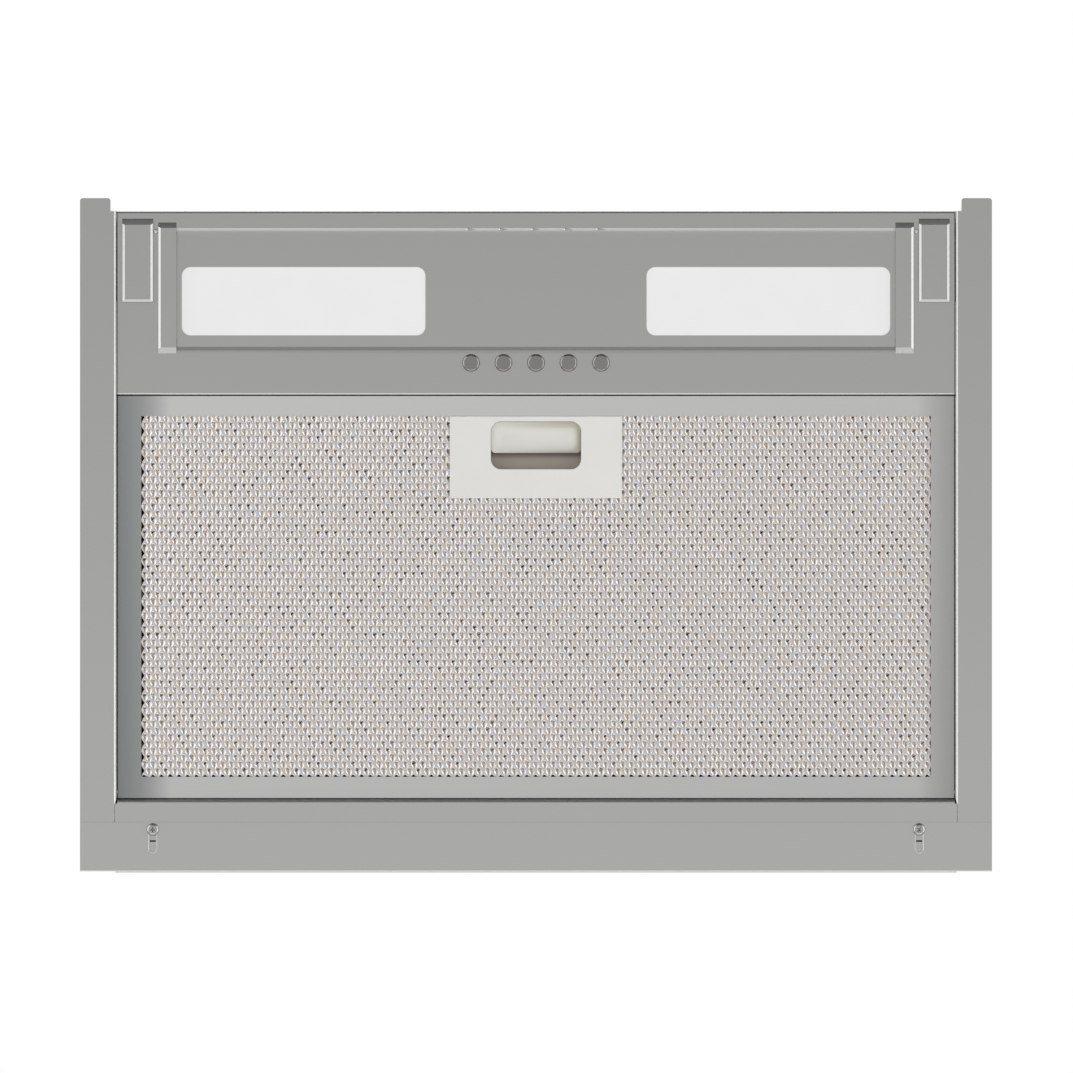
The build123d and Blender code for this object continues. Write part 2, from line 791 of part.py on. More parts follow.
# Latch: a hollowed finger slide in the pocket with a nose through the frame
latch_face = handle_face + latch_inset
latch_rear_y = pocket_front_y + slide_gap + latch_depth
latch_mid_y = (pocket_front_y + latch_rear_y) / 2
hollow_radius = (latch_depth / 2) ** 2 / (2 * latch_hollow) + latch_hollow / 2
with BuildPart() as filter_latch:
    with BuildSketch(Plane.XY.offset(latch_face)):
        with Locations((0, pocket_mid_y)):
            RectangleRounded(
                pocket_width - 2 * slide_gap, pocket_depth - 2 * slide_gap,
                pocket_radius - slide_gap,
            )
        with Locations((0, latch_rear_y)):
            Rectangle(
                pocket_width, pocket_depth,
                align=(Align.CENTER, Align.MIN), mode=Mode.SUBTRACT,
            )
        fillet(vertices().group_by(Axis.Y)[-1], radius=latch_corner)
    extrude(amount=pocket_top - slide_gap - latch_face)
    with BuildSketch(Plane.YZ):
        with Locations((latch_mid_y, latch_face + latch_hollow - hollow_radius)):
            Circle(hollow_radius)
    extrude(amount=pocket_width / 2, both=True, mode=Mode.SUBTRACT)
    block(
        -latch_nose_width / 2, latch_nose_width / 2, filter_front_y, latch_mid_y,
        nose_z, nose_z + latch_nose_height,
    )
keep(filter_latch, "filter_latch")

# Pivot pins at the filter's rear corners, turning in the side rails
with BuildPart() as filter_pivots:
    with BuildSketch(Plane.YZ.offset(filter_half)):
        with Locations((pivot_y, pivot_z)):
            Circle(pivot_radius)
    extrude(amount=body_half - filter_half)
    mirror(about=Plane.YZ)
keep(filter_pivots, "filter_pivots")

# Top plate of the canopy with the opening up into the blower box
inlet_width = box_width - 2 * inlet_margin
inlet_depth = box_depth - 2 * inlet_margin
with BuildPart() as canopy_top:
    block(-body_half, body_half, front_y, rear_wall_y, canopy_height, canopy_top_z)
    with BuildSketch(Plane.XY.offset(canopy_height)):
        with Locations((0, box_mid_y)):
            RectangleRounded(inlet_width, inlet_depth, inlet_corner)
    extrude(amount=sheet, mode=Mode.SUBTRACT)
keep(canopy_top, "canopy_top")

# Slotted finger guard under that opening
guard_columns = int(inlet_width // guard_pitch)
guard_slot_length = (inlet_depth - (guard_rows + 1) * guard_row_gap) / guard_rows
with BuildPart() as inlet_guard:
    with BuildSketch(Plane.XY.offset(canopy_height)):
        with Locations((0, box_mid_y)):
            RectangleRounded(
                inlet_width + 2 * guard_lap, inlet_depth + 2 * guard_lap, inlet_corner
            )
            with GridLocations(
                guard_pitch, guard_slot_length + guard_row_gap, guard_columns, guard_rows
            ):
                SlotOverall(guard_slot_length, guard_slot, rotation=90, mode=Mode.SUBTRACT)
    extrude(amount=-sheet)
keep(inlet_guard, "inlet_guard")

# Blower box: a wrap folded over front, roof and rear, closed by two side covers
with BuildPart() as box_wrap:
    with BuildSketch(Plane.YZ):
        with BuildLine():
            FilletPolyline(
                (box_front_y - box_flange, canopy_top_z + sheet),
                (box_front_y, canopy_top_z + sheet),
                (box_front_y, box_top_z),
                (box_rear_y, box_top_z),
                (box_rear_y, canopy_top_z + sheet),
                (box_rear_y + box_flange, canopy_top_z + sheet),
                radius=box_bend,
            )
            offset(amount=sheet, side=Side.RIGHT)
        make_face()
    extrude(amount=box_half - sheet, both=True)
    with BuildSketch(Plane.XY.offset(box_roof)):
        with Locations((0, collar_y)):
            Circle(collar_mouth)
    extrude(amount=sheet, mode=Mode.SUBTRACT)
keep(box_wrap, "box_wrap")

with BuildPart() as right_box_cover:
    with BuildSketch(Plane.XZ.offset(-box_front_y)):
        with BuildLine():
            FilletPolyline(
                (box_half, box_top_z),
                (box_half, canopy_top_z + sheet),
                (box_half + box_flange, canopy_top_z + sheet),
                radius=bend,
            )
            offset(amount=sheet, side=Side.RIGHT)
        make_face()
    extrude(amount=-box_depth)
    corners = right_box_cover.edges().filter_by(Axis.X).group_by(Axis.Z)[-1]
    fillet(corners, radius=box_bend)
keep(right_box_cover, "right_box_cover")
keep_mirrored("left_box_cover", "right_box_cover")

# Scroll round the impeller: a spiral wrap that opens upwards, and two cheeks with inlets
with BuildSketch(Plane.YZ) as scroll_space:
    with BuildLine():
        Line((tongue_y, box_roof), (tongue_y, blower_z - scroll_step + scroll_r1))
        CenterArc((tongue_y, blower_z - scroll_step), scroll_r1, 90, 90)
        CenterArc((blower_y + scroll_step, blower_z - scroll_step), scroll_r2, 180, 90)
        CenterArc((blower_y + scroll_step, blower_z + scroll_step), scroll_r3, 270, 90)
        Line((outlet_rear_y, blower_z + scroll_step), (outlet_rear_y, box_roof))
        Line((outlet_rear_y, box_roof), (tongue_y, box_roof))
    make_face()

with BuildSketch(Plane.YZ) as scroll_outline:
    add(scroll_space.sketch_local)
    offset(amount=scroll_sheet)
    with Locations((blower_y, box_roof)):
        Rectangle(
            2 * scroll_r3 + box_depth, box_height,
            align=(Align.CENTER, Align.MIN), mode=Mode.SUBTRACT,
        )

with BuildPart() as scroll_wrap:
    extrude(scroll_outline.sketch, amount=scroll_half, both=True)
    extrude(scroll_space.sketch, amount=scroll_half, both=True, mode=Mode.SUBTRACT)
keep(scroll_wrap, "scroll_wrap")

with BuildPart() as right_scroll_cheek:
    extrude(scroll_outline.sketch.moved(Location((scroll_half, 0, 0))), amount=scroll_sheet)
    with BuildSketch(Plane.YZ.offset(scroll_half)):
        with Locations((blower_y, blower_z)):
            Circle(inlet_radius)
    extrude(amount=scroll_sheet, mode=Mode.SUBTRACT)
keep(right_scroll_cheek, "right_scroll_cheek")
keep_mirrored("left_scroll_cheek", "right_scroll_cheek")

# Impeller: hub disc, blades between two rims
blade_circle = impeller_radius - blade_depth / 2
with BuildPart() as impeller:
    with BuildSketch(Plane.YZ):
        with Locations((blower_y, blower_z)):
            Circle(impeller_radius)
    extrude(amount=hub_disc / 2, both=True)
    with BuildSketch(Plane.YZ):
        with Locations((blower_y, blower_z)):
            Circle(hub_radius)
    extrude(amount=hub_length / 2, both=True)
    with BuildSketch(Plane.YZ):
        with Locations((blower_y, blower_z)):
            with PolarLocations(blade_circle, blade_count):
                Rectangle(blade_depth, blade_thickness, rotation=blade_angle)
    extrude(amount=impeller_width / 2, both=True)
    for side in (-1, 1):
        with BuildSketch(Plane.YZ.offset(side * impeller_width / 2)):
            with Locations((blower_y, blower_z)):
                Circle(impeller_radius)
                Circle(inlet_radius, mode=Mode.SUBTRACT)
        extrude(amount=-side * impeller_rim)
    with BuildSketch(Plane.YZ):
        with Locations((blower_y, blower_z)):
            Circle(shaft_radius)
    extrude(amount=hub_length, both=True, mode=Mode.SUBTRACT)
keep(impeller, "impeller")

with BuildPart() as motor_shaft:
    with BuildSketch(Plane.YZ.offset(-hub_length / 2)):
        with Locations((blower_y, blower_z)):
            Circle(shaft_radius)
    extrude(amount=hub_length / 2 + motor_end)
keep(motor_shaft, "motor_shaft")

# Motor inside the right half of the impeller, with a bore for the shaft
with BuildPart() as motor:
    with BuildSketch(Plane.YZ.offset(motor_start + slide_gap)):
        with Locations((blower_y, blower_z)):
            Circle(motor_radius)
    extrude(amount=motor_length - slide_gap)
    fillet(motor.edges(), radius=motor_edge)
    with BuildSketch(Plane.YZ):
        with Locations((blower_y, blower_z)):
            Circle(shaft_radius + shaft_gap)
    extrude(amount=motor_end, mode=Mode.SUBTRACT)
keep(motor, "motor")

# Motor plate with arms out to rubber grommets on the right cheek
arm_reach = inlet_radius + grommet_radius
with BuildPart() as motor_plate:
    with BuildSketch(Plane.YZ.offset(motor_end)):
        with Locations((blower_y, blower_z)):
            Circle(motor_radius - motor_ring_inset)
            with PolarLocations(arm_reach / 2, motor_arm_count):
                SlotCenterToCenter(arm_reach, motor_arm_width)
            Circle(motor_bearing, mode=Mode.SUBTRACT)
    extrude(amount=motor_plate_thickness)
keep(motor_plate, "motor_plate")

with BuildPart() as motor_grommets:
    with BuildSketch(Plane.YZ.offset(cheek_outer)):
        with Locations((blower_y, blower_z)):
            with PolarLocations(arm_reach, motor_arm_count):
                Circle(grommet_radius)
    extrude(amount=motor_end - cheek_outer)
keep(motor_grommets, "motor_grommets")

# Run capacitor standing on the left cover
with BuildPart() as run_capacitor:
    with BuildSketch(Plane.YZ.offset(sheet - box_half)):
        with Locations((blower_y + capacitor_rear, blower_z - capacitor_drop)):
            Circle(capacitor_radius)
    extrude(amount=capacitor_length)
    fillet(run_capacitor.edges().group_by(Axis.X)[-1], radius=motor_edge)
keep(run_capacitor, "run_capacitor")

# Duct collar: flange on the box roof, spigot, inner seat for the flaps and holes for their pins
with BuildPart() as duct_collar:
    with BuildSketch(Plane.XY.offset(box_top_z)):
        with Locations((0, collar_y)):
            Circle(duct_radius + collar_flange)
    extrude(amount=collar_flange_thickness)
    with BuildSketch(Plane.XY.offset(box_top_z)):
        with Locations((0, collar_y)):
            Circle(duct_radius)
    extrude(amount=collar_height)
    with BuildSketch(Plane.XY.offset(box_top_z)):
        with Locations((0, collar_y)):
            Circle(collar_mouth)
    extrude(amount=collar_height, mode=Mode.SUBTRACT)
    with BuildSketch(Plane.XY.offset(box_top_z + collar_seat_height)):
        with Locations((0, collar_y)):
            Circle(collar_inner)
    extrude(amount=collar_height, mode=Mode.SUBTRACT)
    chamfer(duct_collar.edges().group_by(Axis.Z)[-1].sort_by(SortBy.LENGTH)[-1], collar_chamfer)
    with BuildSketch(Plane.YZ):
        with Locations((collar_y, flap_z)):
            with GridLocations(2 * flap_offset, 1, 2, 1):
                Circle(flap_pin_radius)
    extrude(amount=duct_radius - collar_wall / 2, both=True, mode=Mode.SUBTRACT)
keep(duct_collar, "duct_collar")

with BuildPart() as flap_pins:
    with BuildSketch(Plane.YZ):
        with Locations((collar_y, flap_z)):
            with GridLocations(2 * flap_offset, 1, 2, 1):
                Circle(flap_pin_radius)
    extrude(amount=duct_radius - collar_wall / 2, both=True)
keep(flap_pins, "flap_pins")

# Non-return flaps: half discs joined to a barrel that turns on each pin
flap_edge = flap_offset + barrel_radius - flap_barrel_wall / 2
for name, side in (("front_flap", -1), ("rear_flap", 1)):
    with BuildPart() as flap:
        with BuildSketch(Plane.XY.offset(flap_z - flap_thickness / 2)):
            with Locations((0, collar_y)):
                Circle(collar_inner - flap_gap)
            with Locations((0, collar_y + side * (flap_edge - duct_radius))):
                Rectangle(2 * duct_radius, 2 * duct_radius, mode=Mode.SUBTRACT)
        extrude(amount=flap_thickness)
        with BuildSketch(Plane.YZ):
            with Locations((collar_y + side * flap_offset, flap_z)):
                Circle(barrel_radius)
                Circle(flap_pin_radius + flap_pin_gap, mode=Mode.SUBTRACT)
        extrude(amount=flap_barrel_half, both=True)
    keep(flap, name)

# Screws of the collar flange
with BuildPart() as collar_screws:
    with BuildSketch(Plane.XY.offset(box_top_z + collar_flange_thickness)):
        with Locations((0, collar_y)):
            with PolarLocations(
                duct_radius + collar_flange / 2, collar_screw_count, start_angle=collar_screw_angle
            ):
                Circle(screw_head_radius)
    extrude(amount=screw_head_height)
    dome_tops(
        collar_screws, box_top_z + collar_flange_thickness + screw_head_height, screw_edge
    )
keep(collar_screws, "collar_screws")

# Mains terminal box on the canopy: base, lid, terminal block and cable gland
terminal_half = terminal_width / 2
terminal_rear_y = terminal_y + terminal_length / 2
gland_z = canopy_top_z + terminal_height / 2
with BuildPart() as terminal_base:
    with BuildSketch(Plane.XY.offset(canopy_top_z)):
        with Locations((terminal_x, terminal_y)):
            RectangleRounded(terminal_width, terminal_length, terminal_corner)
    extrude(amount=terminal_height)
    block(
        terminal_x - terminal_half + terminal_wall, terminal_x + terminal_half - terminal_wall,
        terminal_y - terminal_length / 2 + terminal_wall, terminal_rear_y - terminal_wall,
        canopy_top_z + terminal_wall, canopy_top_z + terminal_height, mode=Mode.SUBTRACT,
    )
    with BuildSketch(Plane.XZ.offset(-terminal_rear_y)):
        with Locations((terminal_x, gland_z)):
            Circle(gland_thread)
    extrude(amount=terminal_wall, mode=Mode.SUBTRACT)
keep(terminal_base, "terminal_base")

with BuildPart() as terminal_lid:
    with BuildSketch(Plane.XY.offset(canopy_top_z + terminal_height)):
        with Locations((terminal_x, terminal_y)):
            RectangleRounded(terminal_width, terminal_length, terminal_corner)
    extrude(amount=terminal_lid_thickness)
    fillet(terminal_lid.edges().group_by(Axis.Z)[-1], radius=screw_edge)
keep(terminal_lid, "terminal_lid")

with BuildPart() as terminal_block:
    block(
        terminal_x - terminal_block_width / 2, terminal_x + terminal_block_width / 2,
        terminal_y - terminal_block_length / 2, terminal_y + terminal_block_length / 2,
        canopy_top_z + terminal_wall, canopy_top_z + terminal_wall + terminal_block_height,
    )
keep(terminal_block, "terminal_block")

with BuildPart() as cable_gland:
    with BuildSketch(Plane.XZ.offset(-terminal_rear_y)):
        with Locations((terminal_x, gland_z)):
            RegularPolygon(gland_radius, gland_sides)
    extrude(amount=-gland_length)
    with BuildSketch(Plane.XZ.offset(-terminal_rear_y)):
        with Locations((terminal_x, gland_z)):
            Circle(gland_thread)
    extrude(amount=terminal_wall)
    with BuildSketch(Plane.XZ.offset(-terminal_rear_y)):
        with Locations((terminal_x, gland_z)):
            Circle(gland_bore)
    extrude(amount=gland_length, both=True, mode=Mode.SUBTRACT)
keep(cable_gland, "cable_gland")

# LED driver in its own case on the canopy
with BuildPart() as led_driver:
    with BuildSketch(Plane.XY.offset(canopy_top_z)):
        with Locations((driver_x, driver_y)):
            Rectangle(driver_width, driver_length)
    extrude(amount=driver_height)
    fillet(led_driver.edges().group_by(Axis.Z)[-1], radius=driver_edge)
keep(led_driver, "led_driver")

# Screw heads that hold the top plate to the rails and walls, and the box to the top plate
rail_screw_x = body_half - lap / 2
rail_screw_ys = [front_y + screw_margin, 0, rear_wall_y - screw_margin]
wall_screw_ys = [front_y + lap / 2, rear_wall_y - lap / 2]
with BuildPart() as canopy_screws:
    screw_heads([(side * rail_screw_x, y) for side in (-1, 1) for y in rail_screw_ys], canopy_top_z)
    screw_heads([(x, y) for x in (-box_half, 0, box_half) for y in wall_screw_ys], canopy_top_z)
    dome_tops(canopy_screws, canopy_top_z + screw_head_height, screw_edge)
keep(canopy_screws, "canopy_screws")

box_screw_z = canopy_top_z + sheet
box_screw_reach = box_bend + screw_head_radius + seam
box_screw_x = box_half - screw_margin
box_screw_ys = [box_front_y + screw_margin, box_rear_y - screw_margin]
with BuildPart() as box_screws:
    screw_heads(
        [(x, y) for x in (-box_screw_x, 0, box_screw_x)
         for y in (box_front_y - box_screw_reach, box_rear_y + box_screw_reach)],
        box_screw_z,
    )
    screw_heads(
        [(side * (box_half + box_screw_reach), y) for side in (-1, 1) for y in box_screw_ys],
        box_screw_z,
    )
    dome_tops(box_screws, box_screw_z + screw_head_height, screw_edge)
keep(box_screws, "box_screws")
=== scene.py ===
import math
import random

import bpy
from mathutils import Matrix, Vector


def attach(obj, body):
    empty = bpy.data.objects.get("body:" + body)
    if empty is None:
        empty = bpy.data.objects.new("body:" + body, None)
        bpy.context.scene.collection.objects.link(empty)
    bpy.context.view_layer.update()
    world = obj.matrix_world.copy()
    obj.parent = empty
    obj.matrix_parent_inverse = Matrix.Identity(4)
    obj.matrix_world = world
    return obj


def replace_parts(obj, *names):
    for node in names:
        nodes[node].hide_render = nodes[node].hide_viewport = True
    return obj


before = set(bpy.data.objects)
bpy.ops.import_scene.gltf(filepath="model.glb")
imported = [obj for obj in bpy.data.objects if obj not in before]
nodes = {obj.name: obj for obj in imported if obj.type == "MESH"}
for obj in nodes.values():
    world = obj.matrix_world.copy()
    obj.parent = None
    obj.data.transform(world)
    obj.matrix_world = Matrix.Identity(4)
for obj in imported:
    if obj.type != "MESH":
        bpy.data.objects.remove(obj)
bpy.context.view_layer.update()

mm = 0.001
print("frame loaded:", len(nodes), "nodes")


# sRGB hex value to the linear colour that Blender works in
def toLinear(hexCode):
    channels = [int(hexCode[i:i + 2], 16) / 255 for i in (1, 3, 5)]
    linear = [c / 12.92 if c <= 0.04045 else ((c + 0.055) / 1.055) ** 2.4 for c in channels]
    return (*linear, 1.0)


def addNode(tree, kind, inputs=None, **settings):
    node = tree.nodes.new(kind)
    for name, value in settings.items():
        setattr(node, name, value)
    for socket, value in (inputs or {}).items():
        if isinstance(value, bpy.types.NodeSocket):
            tree.links.new(value, node.inputs[socket])
        else:
            node.inputs[socket].default_value = value
    return node


def startMaterial(name, **constants):
    material = bpy.data.materials.new(name)
    material.use_nodes = True
    shader = material.node_tree.nodes["Principled BSDF"]
    for socket, value in constants.items():
        shader.inputs[socket.replace("_", " ")].default_value = value
    return material, material.node_tree, shader


def setRamp(rampNode, stops):
    ramp = rampNode.color_ramp
    while len(ramp.elements) < len(stops):
        ramp.elements.new(0.5)
    for element, (place, hexCode) in zip(ramp.elements, stops):
        element.position = place
        element.color = toLinear(hexCode)


def makePiece(name, vertices, faces, body, material, smooth=True):
    mesh = bpy.data.meshes.new(name)
    mesh.from_pydata(vertices, [], faces)
    mesh.polygons.foreach_set("use_smooth", [smooth] * len(mesh.polygons))
    mesh.materials.append(material)
    piece = bpy.data.objects.new(name, mesh)
    bpy.context.scene.collection.objects.link(piece)
    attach(piece, body)
    return piece


def paint(material, *names):
    for name in names:
        mesh = nodes[name].data
        mesh.materials.clear()
        mesh.materials.append(material)


# Brushed stainless sheet: satin grey with hair-fine grain across the hood; a painted reflection
# makes it lighter to the rear
stainless = {
    "front": "#a1a1a0", "rear": "#afafad", "depth": 190 * mm,
    "grain": 0.9 * mm,      # real grain is near 0.1 mm, drawn coarser so that it shows
    "grainLength": 60 * mm, "grainTone": (0.985, 1.015), "roughness": (0.27, 0.31),
}
stainlessSteel, tree, shader = startMaterial("brushed stainless sheet", Metallic=1.0)
place = addNode(tree, "ShaderNodeTexCoord")
grainFit = addNode(tree, "ShaderNodeMapping", {
    "Vector": place.outputs["Object"],
    "Scale": (1 / stainless["grainLength"], 1 / stainless["grain"], 1 / stainless["grain"]),
})
grain = addNode(tree, "ShaderNodeTexNoise", {
    "Vector": grainFit.outputs["Vector"], "Scale": 1.0, "Detail": 3.0, "Roughness": 0.6,
})
split = addNode(tree, "ShaderNodeSeparateXYZ", {"Vector": place.outputs["Object"]})
depthFit = addNode(tree, "ShaderNodeMapRange", {
    "Value": split.outputs["Y"], "From Min": -stainless["depth"], "From Max": stainless["depth"],
})
# painted reflection: the steel's colour runs lighter from the front edge to the rear
paintedRearLightTone = addNode(tree, "ShaderNodeValToRGB", {"Fac": depthFit.outputs["Result"]})
setRamp(paintedRearLightTone, [(0.0, stainless["front"]), (1.0, stainless["rear"])])
grainTone = addNode(tree, "ShaderNodeMapRange", {
    "Value": grain.outputs["Fac"],
    "To Min": stainless["grainTone"][0], "To Max": stainless["grainTone"][1],
})
steelTone = addNode(tree, "ShaderNodeMix", {
    "Factor": 1.0, "A": paintedRearLightTone.outputs["Color"], "B": grainTone.outputs["Result"],
}, data_type="RGBA", blend_type="MULTIPLY")
tree.links.new(steelTone.outputs[2], shader.inputs["Base Color"])
steelRough = addNode(tree, "ShaderNodeMapRange", {
    "Value": grain.outputs["Fac"],
    "To Min": stainless["roughness"][0], "To Max": stainless["roughness"][1],
})
tree.links.new(steelRough.outputs["Result"], shader.inputs["Roughness"])

# Zinc-coated sheet: dull grey with the cloudy spangle of hot-dip galvanising
galvanised = {
    "dark": "#92969a", "light": "#a8acae", "darkTo": 0.05, "lightFrom": 0.55,
    "spangle": 9 * mm, "cloud": 60 * mm, "roughness": (0.34, 0.5),
}
galvanisedSteel, tree, shader = startMaterial("hot-dip galvanised sheet", Metallic=1.0)
place = addNode(tree, "ShaderNodeTexCoord")
spangle = addNode(tree, "ShaderNodeTexVoronoi", {
    "Vector": place.outputs["Object"], "Scale": 1 / galvanised["spangle"], "Randomness": 1.0,
})
cloud = addNode(tree, "ShaderNodeTexNoise", {
    "Vector": place.outputs["Object"], "Scale": 1 / galvanised["cloud"], "Detail": 4.0,
})
spangleGrey = addNode(tree, "ShaderNodeSeparateColor", {"Color": spangle.outputs["Color"]})
zincMix = addNode(tree, "ShaderNodeMath", {
    0: spangleGrey.outputs["Red"], 1: cloud.outputs["Fac"],
}, operation="MULTIPLY")
zincTone = addNode(tree, "ShaderNodeValToRGB", {"Fac": zincMix.outputs["Value"]})
setRamp(zincTone, [(galvanised["darkTo"], galvanised["dark"]),
                   (galvanised["lightFrom"], galvanised["light"])])
tree.links.new(zincTone.outputs["Color"], shader.inputs["Base Color"])
zincRough = addNode(tree, "ShaderNodeMapRange", {
    "Value": spangleGrey.outputs["Green"],
    "To Min": galvanised["roughness"][0], "To Max": galvanised["roughness"][1],
})
tree.links.new(zincRough.outputs["Result"], shader.inputs["Roughness"])


noiseLow, noiseHigh = 0.3, 0.7      # most of a noise pattern lies between these
moulded = {"uneven": 0.06, "pitDepth": 0.1 * mm}


# Moulded plastics and stoved enamel: a fine eroded texture breaks the gloss
def mouldedPlastic(name, look):
    material, tree, shader = startMaterial(name, IOR=look["ior"])
    place = addNode(tree, "ShaderNodeTexCoord")
    pit = addNode(tree, "ShaderNodeTexNoise", {
        "Vector": place.outputs["Object"], "Scale": 1 / look["texture"], "Detail": 2.0,
    })
    cloud = addNode(tree, "ShaderNodeTexNoise", {
        "Vector": place.outputs["Object"], "Scale": 1 / look["cloud"], "Detail": 3.0,
    })
    tone = addNode(tree, "ShaderNodeValToRGB", {"Fac": cloud.outputs["Fac"]})
    setRamp(tone, [(noiseLow, look["shade"]), (noiseHigh, look["colour"])])
    colour = tone.outputs["Color"]
    # painted shade where a look asks for it: a tinted darkening over a band of heights, its tint
    # changing along Y and its strength growing towards +X
    if "paintedShade" in look:
        split = addNode(tree, "ShaderNodeSeparateXYZ", {"Vector": place.outputs["Object"]})
        depth = addNode(tree, "ShaderNodeMapRange", {
            "Value": split.outputs["Z"],
            "From Min": look["paintedShadeFrom"], "From Max": look["paintedShadeTo"],
        })
        paintedShadePart = addNode(tree, "ShaderNodeValToRGB", {"Fac": depth.outputs["Result"]})
        setRamp(paintedShadePart, look["paintedShadeRamp"])
        thick = addNode(tree, "ShaderNodeMapRange", {
            "Value": split.outputs["Y"],
            "From Min": look["deepShadeFrom"], "From Max": look["deepShadeTo"],
        })
        paintedShadeTone = addNode(tree, "ShaderNodeMix", {
            "Factor": thick.outputs["Result"],
            "A": toLinear(look["thick"]), "B": toLinear(look["paintedShade"]),
        }, data_type="RGBA")
        side = addNode(tree, "ShaderNodeMapRange", {
            "Value": split.outputs["X"],
            "From Min": -look["paintedShadeReach"], "From Max": look["paintedShadeReach"],
            "To Min": look["paintedShadeLeft"], "To Max": 1.0,
        })
        paintedShadeShare = addNode(tree, "ShaderNodeMath", {
            0: paintedShadePart.outputs["Color"], 1: side.outputs["Result"],
        }, operation="MULTIPLY")
        paintedShadeMix = addNode(tree, "ShaderNodeMix", {
            "Factor": paintedShadeShare.outputs["Value"], "A": colour, "B": paintedShadeTone.outputs[2],
        }, data_type="RGBA")
        colour = paintedShadeMix.outputs[2]
    tree.links.new(colour, shader.inputs["Base Color"])
    rough = addNode(tree, "ShaderNodeMapRange", {
        "Value": pit.outputs["Fac"],
        "To Min": look["roughness"] - moulded["uneven"],
        "To Max": look["roughness"] + moulded["uneven"],
    })
    tree.links.new(rough.outputs["Result"], shader.inputs["Roughness"])
    bump = addNode(tree, "ShaderNodeBump", {
        "Height": pit.outputs["Fac"], "Strength": look["bump"], "Distance": moulded["pitDepth"],
    })
    tree.links.new(bump.outputs["Normal"], shader.inputs["Normal"])
    return material


cream = {
    "colour": "#e5e4e0", "shade": "#e2e1dd", "texture": 0.5 * mm, "cloud": 30 * mm,
    "roughness": 0.42, "bump": 0.05, "ior": 1.53,
}
# Cream plastic of the latch, with yellowish painted shade round the rim of its finger hollow,
# stronger towards the right end
latchPlastic = mouldedPlastic("cream moulded ABS with painted rim shade", {
    **cream, "colour": "#deddd8", "shade": "#dbdad5", "paintedShade": "#9a957d", "paintedShadeFrom": 7 * mm,
    "paintedShadeTo": 10 * mm, "paintedShadeRamp": [(0.12, "#ffffff"), (0.4, "#9a9a9a"), (0.78, "#000000")],
    "thick": "#b3af9a", "deepShadeFrom": -66 * mm, "deepShadeTo": -60 * mm,
    "paintedShadeReach": 26 * mm, "paintedShadeLeft": 0.15,
})
# Cream plastic with brown-grey painted shade down in the finger pocket, and a darker painted shadow
# in a band along the latch's edge
handlePlastic = mouldedPlastic("cream moulded ABS with painted pocket shade", {
    **cream, "paintedShade": "#a3998d", "paintedShadeFrom": 10 * mm, "paintedShadeTo": 15 * mm,
    "paintedShadeRamp": [(0.04, "#000000"), (0.64, "#ffffff"), (0.72, "#ffffff"), (0.78, "#000000")],
    "thick": "#645957", "deepShadeFrom": -47.0 * mm, "deepShadeTo": -44.2 * mm,
    "paintedShadeReach": 26 * mm, "paintedShadeLeft": 0.95,
})
# Black polypropylene: near black and matt, with a coarse moulded texture
blackPlastic = mouldedPlastic("black moulded polypropylene", {
    "colour": "#2c2d2e", "shade": "#262728", "texture": 0.8 * mm, "cloud": 50 * mm,
    "roughness": 0.5, "bump": 0.15, "ior": 1.49,
})
# White polycarbonate: clean and slightly glossy
whitePlastic = mouldedPlastic("white moulded polycarbonate", {
    "colour": "#dedede", "shade": "#d6d6d4", "texture": 0.6 * mm, "cloud": 40 * mm,
    "roughness": 0.4, "bump": 0.08, "ior": 1.58,
})
# Nylon without pigment: milky cream
nylonPlastic = mouldedPlastic("natural nylon", {
    "colour": "#d8d2c0", "shade": "#cfc9b6", "texture": 0.6 * mm, "cloud": 20 * mm,
    "roughness": 0.45, "bump": 0.08, "ior": 1.53,
})
# Moulded rubber: black, with hardly any gloss
rubber = mouldedPlastic("black rubber", {
    "colour": "#1f1f1f", "shade": "#1a1a1a", "texture": 0.6 * mm, "cloud": 20 * mm,
    "roughness": 0.7, "bump": 0.2, "ior": 1.52,
})
# Stoved enamel on the motor: dark grey with a soft shine
motorEnamel = mouldedPlastic("dark stoved enamel", {
    "colour": "#3a3b3d", "shade": "#343537", "texture": 0.7 * mm, "cloud": 30 * mm,
    "roughness": 0.38, "bump": 0.1, "ior": 1.5,
})


handled = {"uneven": 0.05}


# Plain bright metals: a soft satin with faint uneven handling marks
def plainMetal(name, look):
    material, tree, shader = startMaterial(name, Metallic=1.0)
    place = addNode(tree, "ShaderNodeTexCoord")
    mark = addNode(tree, "ShaderNodeTexNoise", {
        "Vector": place.outputs["Object"], "Scale": 1 / look["marks"], "Detail": 4.0,
    })
    tone = addNode(tree, "ShaderNodeValToRGB", {"Fac": mark.outputs["Fac"]})
    setRamp(tone, [(noiseLow, look["shade"]), (noiseHigh, look["colour"])])
    tree.links.new(tone.outputs["Color"], shader.inputs["Base Color"])
    rough = addNode(tree, "ShaderNodeMapRange", {
        "Value": mark.outputs["Fac"],
        "To Min": look["roughness"] - handled["uneven"],
        "To Max": look["roughness"] + handled["uneven"],
    })
    tree.links.new(rough.outputs["Result"], shader.inputs["Roughness"])
    return material


# Zinc plate on screws and pins: bright, a little milky
zincPlate = plainMetal("bright zinc plate", {
    "colour": "#c4c4c2", "shade": "#b8b8b6", "marks": 3 * mm, "roughness": 0.22,
})
# Cold-headed stainless screws: greyer than the zinc
screwSteel = plainMetal("stainless screw steel", {
    "colour": "#9d9d9b", "shade": "#8f8f8d", "marks": 1.5 * mm, "roughness": 0.27,
})
